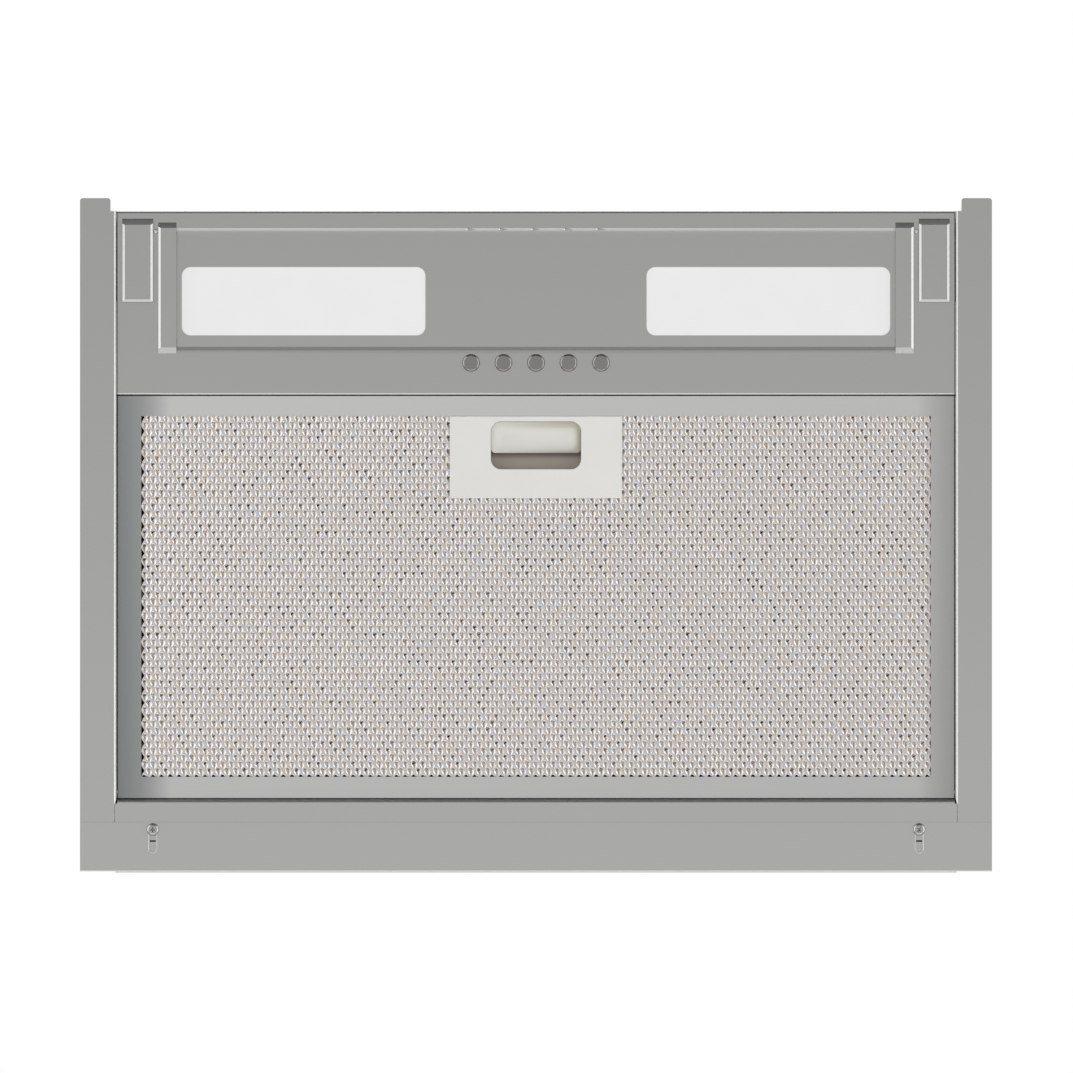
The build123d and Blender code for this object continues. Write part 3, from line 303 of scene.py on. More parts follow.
# Knitted aluminium inside the filter: dull, and dark partly from grease and partly as painted shade
# of its deep layers seen through the mesh
coreAluminium = plainMetal("dull aluminium core", {
    "colour": "#6f6b66", "shade": "#5f5b56", "marks": 8 * mm, "roughness": 0.6,
})
# Vacuum-metallised ABS: a grey metal sheen on a moulded button
buttonMetal = plainMetal("metallised ABS", {
    "colour": "#83817f", "shade": "#7e7c7a", "marks": 0.8 * mm, "roughness": 0.24,
})
# Anodised foil: pale and silky
plateAluminium = plainMetal("anodised aluminium foil", {
    "colour": "#d6d6d4", "shade": "#cdcdcb", "marks": 6 * mm, "roughness": 0.34,
})
# Deep-drawn can of the capacitor: soft bright aluminium
canAluminium = plainMetal("drawn aluminium can", {
    "colour": "#b9babb", "shade": "#adaeaf", "marks": 15 * mm, "roughness": 0.3,
})

# Expanded aluminium: bright strands, with brown-grey painted shade deep in the eyes
expanded = {
    "strand": [(0.36, "#c3b4a1"), (0.5, "#c2bebc"), (0.64, "#b9c0cf")],      # warm to cool
    "eye": "#918982", "marks": 0.9 * mm, "roughness": 0.265,
    "middle": 11.15 * mm,       # level halfway between the two faces of the filter
    "outer": 3.25 * mm, "deep": 2.75 * mm,
}
meshAluminium, tree, shader = startMaterial(
    "expanded aluminium mesh", Metallic=1.0, Roughness=expanded["roughness"])
place = addNode(tree, "ShaderNodeTexCoord")
mark = addNode(tree, "ShaderNodeTexNoise", {
    "Vector": place.outputs["Object"], "Scale": 1 / expanded["marks"], "Detail": 3.0,
})
strandTone = addNode(tree, "ShaderNodeValToRGB", {"Fac": mark.outputs["Fac"]})
setRamp(strandTone, expanded["strand"])
split = addNode(tree, "ShaderNodeSeparateXYZ", {"Vector": place.outputs["Object"]})
# painted shade: the colour turns to the eye tone where the surface lies deep, away from the outer
# faces
fromMiddle = addNode(tree, "ShaderNodeMath", {
    0: split.outputs["Z"], 1: expanded["middle"],
}, operation="SUBTRACT")
offMiddle = addNode(tree, "ShaderNodeMath", {0: fromMiddle.outputs["Value"]}, operation="ABSOLUTE")
sunk = addNode(tree, "ShaderNodeMapRange", {
    "Value": offMiddle.outputs["Value"],
    "From Min": expanded["outer"], "From Max": expanded["deep"],
})
meshTone = addNode(tree, "ShaderNodeMix", {
    "Factor": sunk.outputs["Result"],
    "A": strandTone.outputs["Color"], "B": toLinear(expanded["eye"]),
}, data_type="RGBA")
tree.links.new(meshTone.outputs[2], shader.inputs["Base Color"])

# Mill-finish aluminium frame: lighter than the steel, with painted shade darker towards its two
# sides and towards the rear
millFrame = {
    "across": [(0.0, "#858687"), (0.028, "#979898"), (0.042, "#a8a8a8"), (0.064, "#c4c4c3"),
               (0.5, "#c2c2c1"), (0.955, "#bfbfbe"), (0.975, "#afafae"), (1.0, "#9f9f9e")],
    "edge": 243.4 * mm, "front": -81 * mm, "rear": 153 * mm, "rearShade": 0.92,
    "grain": 0.8 * mm,      # drawn coarser than the real rolling marks so that it shows
    "grainLength": 40 * mm, "grainTone": (0.985, 1.015), "roughness": 0.3,
}
frameAluminium, tree, shader = startMaterial(
    "mill-finish aluminium", Metallic=1.0, Roughness=millFrame["roughness"])
place = addNode(tree, "ShaderNodeTexCoord")
split = addNode(tree, "ShaderNodeSeparateXYZ", {"Vector": place.outputs["Object"]})
# painted shade across the frame: darker towards both sides, darkest at the left
across = addNode(tree, "ShaderNodeMapRange", {
    "Value": split.outputs["X"], "From Min": -millFrame["edge"], "From Max": millFrame["edge"],
})
paintedSideShadeTone = addNode(tree, "ShaderNodeValToRGB", {"Fac": across.outputs["Result"]})
setRamp(paintedSideShadeTone, millFrame["across"])
# painted shade: a little darker towards the rear
paintedRearShade = addNode(tree, "ShaderNodeMapRange", {
    "Value": split.outputs["Y"], "From Min": millFrame["front"], "From Max": millFrame["rear"],
    "To Min": 1.0, "To Max": millFrame["rearShade"],
})
grainFit = addNode(tree, "ShaderNodeMapping", {
    "Vector": place.outputs["Object"],
    "Scale": (1 / millFrame["grainLength"], 1 / millFrame["grain"], 1 / millFrame["grain"]),
})
grain = addNode(tree, "ShaderNodeTexNoise", {
    "Vector": grainFit.outputs["Vector"], "Scale": 1.0, "Detail": 2.0,
})
grainTone = addNode(tree, "ShaderNodeMapRange", {
    "Value": grain.outputs["Fac"],
    "To Min": millFrame["grainTone"][0], "To Max": millFrame["grainTone"][1],
})
shadeBoth = addNode(tree, "ShaderNodeMath", {
    0: grainTone.outputs["Result"], 1: paintedRearShade.outputs["Result"],
}, operation="MULTIPLY")
millMix = addNode(tree, "ShaderNodeMix", {
    "Factor": 1.0, "A": paintedSideShadeTone.outputs["Color"], "B": shadeBoth.outputs["Value"],
}, data_type="RGBA", blend_type="MULTIPLY")
tree.links.new(millMix.outputs[2], shader.inputs["Base Color"])

# Opal acrylic lamp cover: even milky white, lit a little from behind
opal = {"colour": "#7b7b7b", "shade": "#7a7a7a", "glow": 3.13, "milk": 25 * mm,
        "roughness": 0.35, "ior": 1.49}
opalAcrylic, tree, shader = startMaterial(
    "opal acrylic", Roughness=opal["roughness"], IOR=opal["ior"], Emission_Strength=opal["glow"])
place = addNode(tree, "ShaderNodeTexCoord")
milk = addNode(tree, "ShaderNodeTexNoise", {
    "Vector": place.outputs["Object"], "Scale": 1 / opal["milk"], "Detail": 2.0,
})
milkTone = addNode(tree, "ShaderNodeValToRGB", {"Fac": milk.outputs["Fac"]})
setRamp(milkTone, [(noiseLow, opal["shade"]), (noiseHigh, opal["colour"])])
tree.links.new(milkTone.outputs["Color"], shader.inputs["Base Color"])
tree.links.new(milkTone.outputs["Color"], shader.inputs["Emission Color"])
print("materials made:", len(bpy.data.materials))

paint(stainlessSteel, "left_side_rail", "right_side_rail", "front_panel", "rear_wall",
      "left_end_strip", "right_end_strip", "left_corner_bracket", "right_corner_bracket",
      "spacer_strip")
paint(galvanisedSteel, "canopy_top", "inlet_guard", "box_wrap", "left_box_cover",
      "right_box_cover", "scroll_wrap", "left_scroll_cheek", "right_scroll_cheek", "motor_plate")
paint(zincPlate, "spacer_screws", "clip_nuts", "canopy_screws", "box_screws", "collar_screws",
      "panel_rivets", "motor_shaft", "flap_pins", "filter_pivots")
paint(frameAluminium, "filter_frame")
paint(coreAluminium, "filter_core", "filter_back_mesh", "filter_face_mesh")
paint(handlePlastic, "filter_handle")
paint(latchPlastic, "filter_latch")
paint(buttonMetal, *[f"button_{i}" for i in range(1, 6)])
paint(opalAcrylic, "left_lamp_lens", "right_lamp_lens")
paint(whitePlastic, "left_lamp_housing", "right_lamp_housing", "led_driver", "switch_block",
      "left_led_board", "right_led_board")
paint(blackPlastic, "impeller", "duct_collar", "front_flap", "rear_flap", "terminal_base",
      "terminal_lid", "cable_gland")
paint(nylonPlastic, "terminal_block")
paint(rubber, "motor_grommets")
paint(motorEnamel, "motor")
paint(canAluminium, "run_capacitor")
print("CAD nodes painted")

# Expanded mesh of both filter faces: staggered eyes between slanted strands, as a slit sheet opens
weave = {
    "pitch": 5.06 * mm,      # across, between eyes of one row
    "row": 3.95 * mm,        # between rows, each staggered by half a pitch
    "window": (229.6 * mm, -69.4 * mm, 140.5 * mm),
    "underFrame": 3.0 * mm,
    "front": {"level": 7.35 * mm, "inward": 1, "frameInside": 0.6 * mm,
              "splits": (0, 1 / 3, 2 / 3)},
    "back": {"level": 14.95 * mm, "inward": -1, "frameInside": 0.2 * mm, "splits": (0,)},
    "frameEdge": 0.5 * mm,
    "eye": (1.05 * mm, 1.3 * mm),
    "eyeShift": (-0.3 * mm, -0.25 * mm),
    "eyeLean": math.radians(8),
    "sizes": (0.8, 1.12), "leans": (-0.1, 0.1), "wander": (-0.12 * mm, 0.12 * mm),
    "pinholes": (-0.2, 0.45), "closed": 0.02,      # share of an eye that is open at its bottom
    "strand": math.radians(58), "strandCurve": 1.5,
    "knotDepth": 0.25 * mm, "strandDepths": (0.45 * mm, 0.2 * mm),
    "shoulder": 0.32, "shoulderFacing": 0.2,
    "shoulderDepth": 0.3 * mm, "facingDepth": 0.45 * mm, "proudDepth": 0.3 * mm,
    "lipDepth": 0.8 * mm, "lipFacing": 0.3 * mm, "bottomDepth": 1.3 * mm,
    "handle": (49.7 * mm, -21.7 * mm),
    "seed": 7,
}


def weaveMesh(layer):
    draw = random.Random(weave["seed"])
    half, front, rear = weave["window"]
    pitch, row = weave["pitch"], weave["row"]
    tips = [(pitch / 2, 0), (0, row), (-pitch / 2, 0), (0, -row)]
    rim = []
    for k in range(4):
        (x0, y0), (x1, y1) = tips[k], tips[(k + 1) % 4]
        for t in layer["splits"]:
            depth = weave["strandDepths"][k % 2] if t else weave["knotDepth"]
            rim.append((x0 + t * (x1 - x0), y0 + t * (y1 - y0), depth))
    vertices, faces, shared = [], [], {}

    def settle(x, y, depth):
        inside = min(half - abs(x), y - front, rear - y)
        if inside < weave["frameEdge"]:
            depth = max(depth, layer["frameInside"])
        vertices.append((x, y, layer["level"] + layer["inward"] * depth))
        return len(vertices) - 1

    def underHandle(ring):
        return all(abs(vertices[i][0]) < weave["handle"][0] and vertices[i][1] < weave["handle"][1]
                   for i in ring)

    rows = int((rear - front + 2 * weave["underFrame"]) / row) + 1
    columns = int((half + weave["underFrame"]) / pitch)
    for j in range(rows):
        cy = front - weave["underFrame"] + j * row
        for i in range(-columns, columns + 1):
            cx = (i + 0.5 * (j % 2)) * pitch
            size = draw.uniform(*weave["sizes"])
            lean = weave["eyeLean"] + draw.uniform(*weave["leans"])
            pin = max(weave["closed"], draw.uniform(*weave["pinholes"]))
            ex = cx + weave["eyeShift"][0] + draw.uniform(*weave["wander"])
            ey = cy + weave["eyeShift"][1] + draw.uniform(*weave["wander"])
            rings = [[], [], [], []]
            for rx, ry, depth in rim:
                ox, oy = cx + rx, cy + ry
                turn = math.atan2(oy - ey, ox - ex)
                along = turn + math.pi / 2 + lean
                reach = size / math.hypot(math.sin(along) / weave["eye"][0],
                                          math.cos(along) / weave["eye"][1])
                slope = math.cos(turn - weave["strand"])
                facing = max(0.0, slope) ** weave["strandCurve"]
                proud = max(0.0, -slope) ** weave["strandCurve"]
                bx, by = ex + reach * math.cos(turn), ey + reach * math.sin(turn)
                share = weave["shoulder"] + weave["shoulderFacing"] * facing
                shoulder = (weave["shoulderDepth"] + weave["facingDepth"] * facing
                            - weave["proudDepth"] * proud)
                key = (round(ox / mm, 2), round(oy / mm, 2))
                if key not in shared:
                    shared[key] = settle(ox, oy, depth)
                rings[0].append(shared[key])
                rings[1].append(settle(bx + share * (ox - bx), by + share * (oy - by), shoulder))
                rings[2].append(settle(bx, by, weave["lipDepth"] + weave["lipFacing"] * facing))
                rings[3].append(settle(ex + pin * (bx - ex), ey + pin * (by - ey),
                                       weave["bottomDepth"]))
            for outer, inner in zip(rings, rings[1:]):
                for k in range(len(rim)):
                    n = (k + 1) % len(rim)
                    face = (outer[n], outer[k], inner[k], inner[n])
                    if not underHandle(face):
                        faces.append(face[::layer["inward"]])
    return vertices, faces


for name, layer, node in (("filterMeshFace", "front", "filter_face_mesh"),
                          ("filterMeshBack", "back", "filter_back_mesh")):
    weaveVertices, weaveFaces = weaveMesh(weave[layer])
    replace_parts(makePiece(name, weaveVertices, weaveFaces, "filter", meshAluminium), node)
    print("filter mesh,", layer + ":", len(weaveFaces), "faces")


def nodeBox(name):
    points = [nodes[name].matrix_world @ vertex.co for vertex in nodes[name].data.vertices]
    return [(min(p[k] for p in points), max(p[k] for p in points)) for k in range(3)]


def skin(vertices, faces, rows, closed):
    base, count = len(vertices), len(rows[0])
    for row in rows:
        vertices.extend(row)
    for i in range(len(rows) - 1):
        for j in range(count if closed else count - 1):
            k = (j + 1) % count
            near, far = base + i * count, base + (i + 1) * count
            faces.append((near + j, near + k, far + k, far + j))


# Pan-head screws with a cross recess, each in the place of a plain CAD head
crossHead = {
    "profile": [(1.0, 0.0), (1.0, 0.25), (0.95, 0.5), (0.85, 0.72), (0.7, 0.9), (0.55, 0.98)],
    "arm": (0.13, 0.44),        # half width and length of the cross, as shares of the head's radius
    "floor": 0.45,              # height of the recess floor, as a share of the head's height
    "wall": 0.85, "tip": 0.05, "tipDrop": 0.1,
    "apart": 12 * mm,           # vertices within this belong to one head
    "twist": 1.5, "seed": 11, "slack": 1e-6,
}


def headPlaces(name):
    groups = []
    for vertex in nodes[name].data.vertices:
        point = nodes[name].matrix_world @ vertex.co
        for group in groups:
            if math.hypot(point.x - group[0].x, point.y - group[0].y) < crossHead["apart"]:
                group.append(point)
                break
        else:
            groups.append([point])
    places = []
    for group in groups:
        xs, ys, zs = ([p[k] for p in group] for k in range(3))
        places.append(((min(xs) + max(xs)) / 2, (min(ys) + max(ys)) / 2, min(zs), max(zs),
                       (max(xs) - min(xs)) / 2))
    return places


def addHead(vertices, faces, x, y, seat, height, radius):
    twist = draw.uniform(0, crossHead["twist"])
    width, length = (share * radius for share in crossHead["arm"])
    corner = math.atan2(width, length)
    steps = [0, corner, (corner + math.pi / 4) / 2, math.pi / 4]
    steps += [math.pi / 2 - step for step in steps[2:0:-1]]
    turns = [quarter * math.pi / 2 + step for quarter in range(4) for step in steps]
    if height < 0:
        turns.reverse()

    def ring(reach, level):
        return [(x + reach(turn) * math.cos(turn + twist), y + reach(turn) * math.sin(turn + twist),
                 seat + level * height) for turn in turns]

    def crossReach(turn):
        lean = abs((turn + math.pi / 4) % (math.pi / 2) - math.pi / 4)
        inArm = lean <= corner + crossHead["slack"]
        return length / math.cos(lean) if inArm else width / math.sin(lean)

    rows = [ring(lambda turn, share=share: share * radius, level)
            for share, level in crossHead["profile"]]
    rows.append(ring(crossReach, 1.0))
    rows.append(ring(lambda turn: crossHead["wall"] * crossReach(turn), crossHead["floor"]))
    rows.append(ring(lambda turn: crossHead["tip"] * radius,
                     crossHead["floor"] - crossHead["tipDrop"]))
    skin(vertices, faces, rows, True)


draw = random.Random(crossHead["seed"])
for name in ("canopy_screws", "box_screws", "collar_screws"):
    headVertices, headFaces = [], []
    for x, y, low, high, radius in headPlaces(name):
        addHead(headVertices, headFaces, x, y, low, high - low, radius)
    heads = makePiece(name.replace("_s", "S") + "Heads", headVertices, headFaces, "chassis",
                      zincPlate)
    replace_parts(heads, name)

# Spacer screws: the same heads hang below the strip, each with its shank up to the clip nut
spacerScrew = {"head": 1.9 * mm, "shank": 1.7 * mm, "sides": 24}
headVertices, headFaces = [], []
for x, y, low, high, radius in headPlaces("spacer_screws"):
    addHead(headVertices, headFaces, x, y, low + spacerScrew["head"], -spacerScrew["head"], radius)
    turns = [2 * math.pi * k / spacerScrew["sides"] for k in range(spacerScrew["sides"])]
    skin(headVertices, headFaces, [
        [(x + spacerScrew["shank"] * math.cos(turn), y + spacerScrew["shank"] * math.sin(turn), z)
         for turn in turns] for z in (low + spacerScrew["head"], high)], True)
heads = makePiece("spacerScrewHeads", headVertices, headFaces, "chassis", screwSteel)
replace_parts(heads, "spacer_screws")

# Rolled lip round each slot of the spacer strip, as the punch leaves it
slotLip = {
    "half": 2.0 * mm, "length": 11.4 * mm, "wide": 0.5 * mm, "proud": 0.18 * mm, "steps": 16,
    "profile": [(1.0, 0.02), (0.45, 0.7), (0.0, 1.0), (0.0, -1.5)],     # shares of wide and proud
}
lipLevel = nodeBox("spacer_strip")[2][0]
lipVertices, lipFaces = [], []
for x, y in (place[:2] for place in headPlaces("spacer_screws")):
    lipRows = []
    for out, drop in slotLip["profile"]:
        reach = slotLip["half"] + out * slotLip["wide"]
        row = []
        for k in range(2 * slotLip["steps"] + 2):
            turn = math.pi * (k - (k > slotLip["steps"])) / slotLip["steps"]
            shift = slotLip["length"] if k <= slotLip["steps"] else 0.0
            row.append((x + reach * math.cos(turn), y + shift + reach * math.sin(turn),
                        lipLevel - drop * slotLip["proud"]))
        lipRows.append(row[::-1])
    skin(lipVertices, lipFaces, lipRows, True)
makePiece("spacerSlotLips", lipVertices, lipFaces, "spacer", stainlessSteel)

# Locating pips pressed in the panel's front crease, one before each button
pip = {
    "y": -178.0 * mm, "shift": -0.2 * mm, "long": 2.6 * mm, "wide": 0.75 * mm, "proud": 0.6 * mm,
    "peak": -1.7 * mm, "level": 5.4 * mm, "square": 0.4, "narrowing": 0.3, "tip": 0.02,
    "sides": 24, "levels": 4,
}
pipVertices, pipFaces = [], []
for number in range(1, 6):
    low, high = nodeBox(f"button_{number}")[0]
    pipRows = []
    for level in range(pip["levels"] + 1):
        up = level / pip["levels"]
        reach = max(pip["tip"], 1 - up)
        middle = (low + high) / 2 + pip["shift"] + up * pip["peak"]
        row = []
        for k in range(pip["sides"]):
            turn = -2 * math.pi * (k + 0.5) / pip["sides"]
            along, across = (math.copysign(abs(part) ** pip["square"], part)
                             for part in (math.cos(turn), math.sin(turn)))
            row.append((middle + reach * pip["long"] * along,
                        pip["y"] + pip["wide"] * across * reach ** pip["narrowing"],
                        pip["level"] - up * pip["proud"]))
        pipRows.append(row)
    skin(pipVertices, pipFaces, pipRows, True)
makePiece("creasePips", pipVertices, pipFaces, "chassis", stainlessSteel,
          smooth=False)

# Plain steel collar closing the hole round each button, clear of the button's side
bezel = {"inner": 5.06 * mm, "outer": 5.29 * mm, "level": 5.25 * mm, "deep": 5.75 * mm, "sides": 48}
turns = [-2 * math.pi * k / bezel["sides"] for k in range(bezel["sides"])]
bezelVertices, bezelFaces = [], []
for number in range(1, 6):
    (left, right), (front, rear) = nodeBox(f"button_{number}")[:2]
    bezelRows = []
    for reach, level in ((bezel["outer"], bezel["level"]), (bezel["inner"], bezel["level"]),
                         (bezel["inner"], bezel["deep"])):
        bezelRows.append([((left + right) / 2 + reach * math.cos(turn),
                           (front + rear) / 2 + reach * math.sin(turn), level) for turn in turns])
    skin(bezelVertices, bezelFaces, bezelRows, True)
makePiece("buttonCollars", bezelVertices, bezelFaces, "chassis", stainlessSteel,
          smooth=False)

# Finger hollow of the latch, dished so that it closes softly at the front and at both ends
dish = {
    "half": 26.1 * mm, "front": -66.1 * mm, "rear": -48.1 * mm,
    "corner": 5.8 * mm, "rearCorner": 2 * mm, "face": 7.38 * mm, "hollow": 2.18 * mm,
    "round": 8 * mm, "columns": 72, "rows": 30,
    "crowding": 1.3,        # rows stand closer together at the front
}


def dishDepth(x, y):
    middle = (dish["front"] + dish["rear"]) / 2
    reach = dish["rear"] - middle
    hollow = dish["hollow"] * (1 - ((y - middle) / reach) ** 2)
    sideIn = dish["half"] - dish["corner"] - abs(x)
    frontIn = y - dish["front"] - dish["corner"]
    if sideIn < 0 and frontIn < 0:
        inside = dish["corner"] - math.hypot(sideIn, frontIn)
    else:
        inside = dish["corner"] + min(sideIn, frontIn)
    rise = min(1.0, max(0.0, inside / dish["round"]))
    return dish["face"] + hollow * rise * rise * (3 - 2 * rise)


def dishHalf(y):
    half = dish["half"]
    for end, radius in ((y - dish["front"], dish["corner"]),
                        (dish["rear"] - y, dish["rearCorner"])):
        if end < radius:
            half += math.sqrt(max(0.0, radius ** 2 - (radius - end) ** 2)) - radius
    return half


rows = []
for j in range(dish["rows"] + 1):
    y = dish["front"] + (dish["rear"] - dish["front"]) * (j / dish["rows"]) ** dish["crowding"]
    half = dishHalf(y)
    across = [half * math.sin(math.pi * (0.5 - i / dish["columns"]))
              for i in range(dish["columns"] + 1)]
    rows.append([(x, y, dishDepth(x, y)) for x in across])
dishVertices, dishFaces = [], []
skin(dishVertices, dishFaces, rows, False)
makePiece("latchDish", dishVertices, dishFaces, "latch", latchPlastic)

# Small lid screws of the terminal box, which the CAD leaves out
lidScrew = {"radius": 2.6 * mm, "height": 1.5 * mm, "inset": 8 * mm}
lidBox = nodeBox("terminal_lid")
headVertices, headFaces = [], []
for x in (lidBox[0][0] + lidScrew["inset"], lidBox[0][1] - lidScrew["inset"]):
    for y in (lidBox[1][0] + lidScrew["inset"], lidBox[1][1] - lidScrew["inset"]):
        addHead(headVertices, headFaces, x, y, lidBox[2][1], lidScrew["height"],
                lidScrew["radius"])
makePiece("terminalLidScrews", headVertices, headFaces, "chassis", zincPlate)
print("screw heads, slot lips, pips, collars and latch dish made")

# Half-round bead that tapers off at both ends
bead = {
    "steps": 8,
    "taper": [(0, 0.02), (0.15, 0.5), (0.4, 0.85), (0.75, 1.0)],    # place in widths, then scale
}


def addBead(vertices, faces, start, end, out, look):
    start, end, out = Vector(start), Vector(end), Vector(out)
    along = (end - start).normalized()
    side = along.cross(out)
    long = (end - start).length
    stations = [(place * look["width"], scale) for place, scale in bead["taper"]]
    stations += [(long - place, scale) for place, scale in reversed(stations)]
    turns = [math.pi * k / bead["steps"] for k in range(bead["steps"] + 1)]
    rows = []
    for place, scale in stations:
        rows.append([tuple(start + along * place
                           + side * (look["width"] / 2 * scale * -math.cos(turn))
                           + out * (look["height"] * scale * math.sin(turn))) for turn in turns])
    skin(vertices, faces, rows, False)


# Stiffening beads pressed out of the blower box's four walls
swage = {
    "width": 11 * mm, "height": 1.6 * mm, "low": 30 * mm, "high": 36 * mm,
    "spread": 62 * mm, "frontSpread": 1.4,      # wider apart on the front and rear walls
    "coverFlange": 14 * mm,
}
coverBox = nodeBox("right_box_cover")
low, high = coverBox[2][0] + swage["low"], coverBox[2][1] - swage["high"]
middle = sum(coverBox[1]) / 2
wall = coverBox[0][1] - swage["coverFlange"]
beadVertices, beadFaces = [], []
for side in (-1, 1):
    for spread in (-swage["spread"], swage["spread"]):
        addBead(beadVertices, beadFaces, (side * wall, middle + spread, low),
                (side * wall, middle + spread, high), (side, 0, 0), swage)
        face = coverBox[1][0] if side < 0 else coverBox[1][1]
        x = swage["frontSpread"] * spread
        addBead(beadVertices, beadFaces, (x, face, low), (x, face, high), (0, side, 0), swage)
makePiece("boxBeads", beadVertices, beadFaces, "chassis", galvanisedSteel)

# Rolled hem along the rear edge of the filter frame
hem = {"width": 0.4 * mm, "height": 0.3 * mm, "rise": 7.5 * mm, "half": 242.6 * mm}
frameBox = nodeBox("filter_frame")
hemVertices, hemFaces = [], []
addBead(hemVertices, hemFaces, (hem["half"], frameBox[1][1], hem["rise"]),
        (-hem["half"], frameBox[1][1], hem["rise"]), (0, 1, 0), hem)
makePiece("filterRearHem", hemVertices, hemFaces, "filter", frameAluminium)

# Cooling ribs on the lamp driver's lid
ribs = {"width": 2.4 * mm, "height": 0.9 * mm, "pitch": 9 * mm, "inset": 5 * mm, "count": 9}
driverBox = nodeBox("led_driver")
middle = sum(driverBox[1]) / 2
beadVertices, beadFaces = [], []
for k in range(ribs["count"]):
    y = middle + (k - (ribs["count"] - 1) / 2) * ribs["pitch"]
    addBead(beadVertices, beadFaces, (driverBox[0][0] + ribs["inset"], y, driverBox[2][1]),
            (driverBox[0][1] - ribs["inset"], y, driverBox[2][1]), (0, 0, 1), ribs)
makePiece("driverRibs", beadVertices, beadFaces, "chassis", whitePlastic)

# Duct collar: a rolled rim at the mouth and two grip ridges that hold the hose
collar = {
    "ridges": [(4.0 * mm, 1.2 * mm, 3.2 * mm), (14 * mm, 0.7 * mm, 2.4 * mm),
               (22 * mm, 0.7 * mm, 2.4 * mm)],      # down from the mouth, proud, tall
    "radius": 74.5 * mm, "sides": 96, "steps": 8,
}
collarBox = nodeBox("duct_collar")
centre = (sum(collarBox[0]) / 2, sum(collarBox[1]) / 2)
turns = [2 * math.pi * j / collar["sides"] for j in range(collar["sides"])]
ridgeVertices, ridgeFaces = [], []
for down, proud, tall in collar["ridges"]:
    rows = []
    for k in range(collar["steps"] + 1):
        lift = math.pi * k / collar["steps"]
        reach = collar["radius"] + proud * math.sin(lift)
        z = collarBox[2][1] - down - tall / 2 * math.cos(lift)
        rows.append([(centre[0] + reach * math.cos(turn), centre[1] + reach * math.sin(turn), z)
                     for turn in turns])
    skin(ridgeVertices, ridgeFaces, rows, True)
makePiece("collarRidges", ridgeVertices, ridgeFaces, "chassis", blackPlastic)

# Blank rating plate riveted to the front of the blower box
plate = {
    "half": (32 * mm, 17 * mm), "corner": 3 * mm, "cornerSteps": 6, "thick": 0.5 * mm,
    "edge": 0.7, "bevel": 0.2 * mm, "rise": 62 * mm, "inset": 4 * mm,
    "rivet": 1.3 * mm, "rivetSides": 16,
    "rivetProfile": [(1.0, 0.0), (0.95, 0.35 * mm), (0.7, 0.65 * mm), (0.05, 0.8 * mm)],
}
plateVertices, plateFaces = [], []
face, level = coverBox[1][0], coverBox[2][0] + plate["rise"]


def plateOutline(shrink, depth):
    points = []
    for sx, sz, first in ((1, 1, 0), (-1, 1, 1), (-1, -1, 2), (1, -1, 3)):
        for k in range(plate["cornerSteps"] + 1):
            turn = (first + k / plate["cornerSteps"]) * math.pi / 2
            points.append((sx * (plate["half"][0] - plate["corner"])
                           + (plate["corner"] - shrink) * math.cos(turn),
                           face - depth,
                           level + sz * (plate["half"][1] - plate["corner"])
                           + (plate["corner"] - shrink) * math.sin(turn)))
    return points


outlines = [plateOutline(0, 0), plateOutline(0, plate["edge"] * plate["thick"]),
            plateOutline(plate["bevel"], plate["thick"])]
skin(plateVertices, plateFaces, outlines, True)
plateFaces.append(tuple(range(len(plateVertices) - len(outlines[-1]), len(plateVertices))))
turns = [2 * math.pi * k / plate["rivetSides"] for k in range(plate["rivetSides"])]
for sx in (-1, 1):
    for sz in (-1, 1):
        x = sx * (plate["half"][0] - plate["inset"])
        z = level + sz * (plate["half"][1] - plate["inset"])
        skin(plateVertices, plateFaces, [
            [(x + share * plate["rivet"] * math.cos(turn), face - plate["thick"] - rise,
              z + share * plate["rivet"] * math.sin(turn)) for turn in turns]
            for share, rise in plate["rivetProfile"]], True)
makePiece("ratingPlate", plateVertices, plateFaces, "chassis", plateAluminium,
          smooth=False)
print("top-side detail made")

# Stage: pale floor far below the hood, softboxes on both sides, behind and above, and a grey card
# in front that the steel mirrors
studio = {
    "floor": {"level": -12.0, "half": 30.0, "colour": "#f4f4f4"},
    "card": {"y": -2.4, "half": 1.8, "low": -3.15, "high": 0.4, "colour": "#9a9a9a"},
    "paperRoughness": 0.9,
    "leftBox": {"place": (-3.0, -0.9, -1.5), "size": (5.6, 2.6), "radiance": 1.6},
    "rightBox": {"place": (3.0, 0.0, -1.4), "size": (4.4, 2.4), "radiance": 1.7},
    "rearBox": {"place": (0.0, 3.0, -1.6), "size": (4.4, 2.8), "radiance": 0.9},
    "overheadBox": {"place": (-0.9, -1.1, 2.2), "size": (2.6, 2.6), "radiance": 1.6},
    "fill": 0.52,
}


# White to the camera and in reflections, plain light for the rest
def seenRays(tree):
    path = addNode(tree, "ShaderNodeLightPath")
    seen = path.outputs["Is Camera Ray"]
    for ray in ("Is Glossy Ray", "Is Transmission Ray"):
        seen = addNode(tree, "ShaderNodeMath", {0: seen, 1: path.outputs[ray]},
                       operation="MAXIMUM").outputs["Value"]
    return seen


world = bpy.data.worlds.new("white surroundings")
bpy.context.scene.world = world
world.use_nodes = True
tree = world.node_tree
level = addNode(tree, "ShaderNodeMapRange", {
    "Value": seenRays(tree), "To Min": studio["fill"], "To Max": 1.0,
})
background = tree.nodes["Background"]
background.inputs["Color"].default_value = (1.0, 1.0, 1.0, 1.0)
tree.links.new(level.outputs["Result"], background.inputs["Strength"])


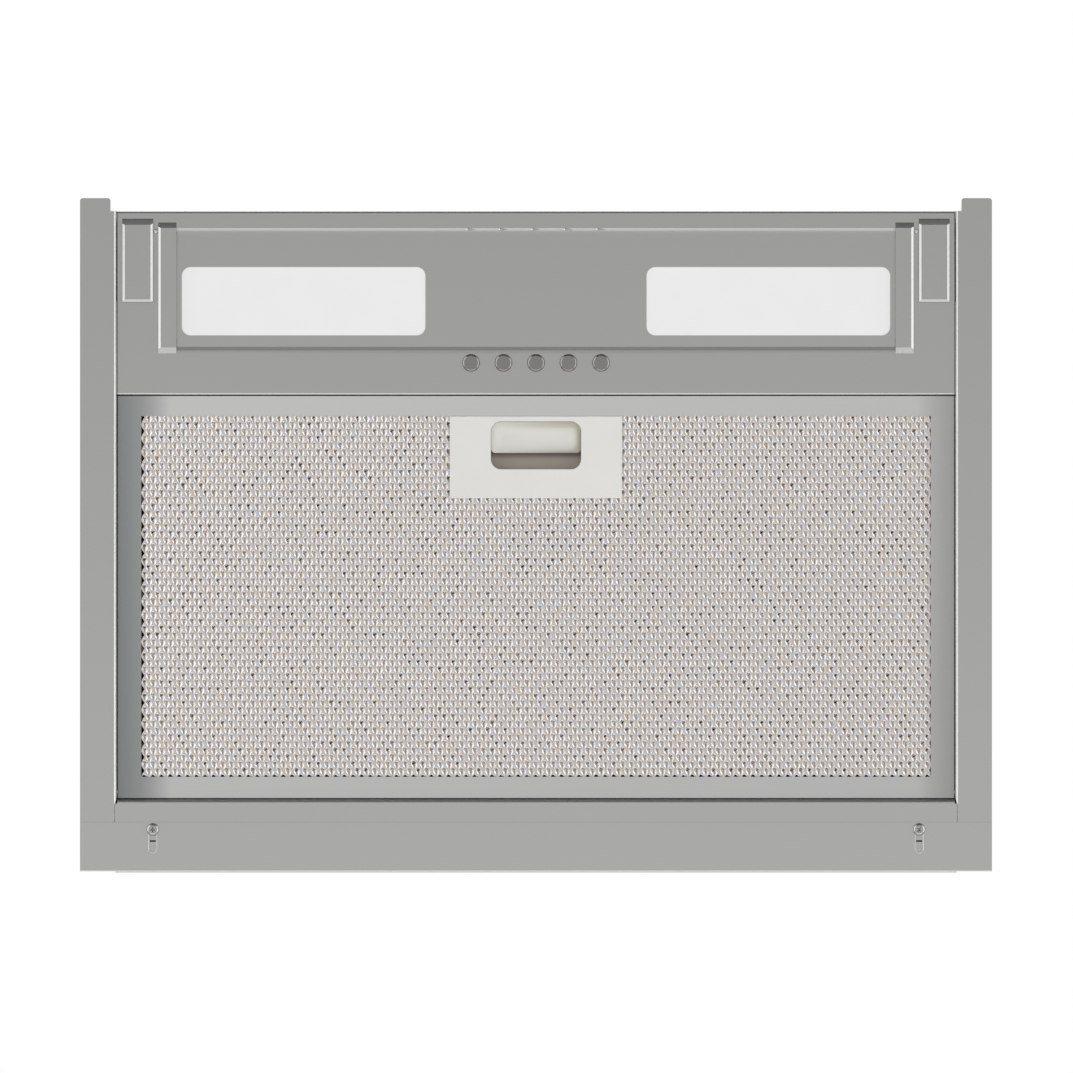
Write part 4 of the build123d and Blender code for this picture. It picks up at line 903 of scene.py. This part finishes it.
def softbox(name, look):
    lamp = bpy.data.lights.new(name, "AREA")
    lamp.shape = "RECTANGLE"
    lamp.size, lamp.size_y = look["size"]
    lamp.energy = look["radiance"] * math.pi * lamp.size * lamp.size_y
    box = bpy.data.objects.new(name, lamp)
    bpy.context.scene.collection.objects.link(box)
    box.location = look["place"]
    box.rotation_euler = (-box.location).to_track_quat("-Z", "Y").to_euler()
    box.visible_camera = False


for name in ("leftBox", "rightBox", "rearBox", "overheadBox"):
    softbox(name, studio[name])


def addCard(name, corners, hexCode):
    mesh = bpy.data.meshes.new(name)
    mesh.from_pydata(corners, [], [(0, 1, 2, 3)])
    material, tree, shader = startMaterial(
        name, Roughness=studio["paperRoughness"], Specular_IOR_Level=0.0)
    shader.inputs["Base Color"].default_value = toLinear(hexCode)
    mesh.materials.append(material)
    item = bpy.data.objects.new(name, mesh)
    bpy.context.scene.collection.objects.link(item)
    return item, tree, shader


floor = studio["floor"]
half, level = floor["half"], floor["level"]
tree, shader = addCard("pale floor", [
    (-half, -half, level), (half, -half, level), (half, half, level), (-half, half, level),
], floor["colour"])[1:]
paper = addNode(tree, "ShaderNodeEmission", {"Color": (1.0, 1.0, 1.0, 1.0), "Strength": 1.0})
paperMix = addNode(tree, "ShaderNodeMixShader", {
    0: seenRays(tree), 1: shader.outputs["BSDF"], 2: paper.outputs["Emission"],
})
tree.links.new(paperMix.outputs["Shader"], tree.nodes["Material Output"].inputs["Surface"])
card = studio["card"]
half, y, low, high = (card[key] for key in ("half", "y", "low", "high"))
greyCard = addCard("grey card", [
    (-half, y, low), (half, y, low), (half, y, high), (-half, y, high),
], card["colour"])[0]
greyCard.visible_camera = False
greyCard.visible_diffuse = False
greyCard.visible_shadow = False
print("stage set")

# Camera straight below, the front of the hood at the top of the picture
view = {"lens": 600.0, "sensor": 36.0, "pictureWidth": 623.6 * mm, "plane": -1.5 * mm,
        "centre": (0.3 * mm, 0.7 * mm), "farthest": 60.0}
camera = bpy.data.cameras.new("camera")
camera.lens = view["lens"]
camera.sensor_width = view["sensor"]
camera.clip_end = view["farthest"]
distance = view["pictureWidth"] * view["lens"] / view["sensor"]
cameraObject = bpy.data.objects.new("camera", camera)
bpy.context.scene.collection.objects.link(cameraObject)
cameraObject.location = (*view["centre"], view["plane"] - distance)
cameraObject.rotation_euler = (math.pi, 0, 0)
bpy.context.scene.camera = cameraObject
bpy.context.scene.view_settings.view_transform = "Standard"
print("camera at", round(distance, 3), "m")
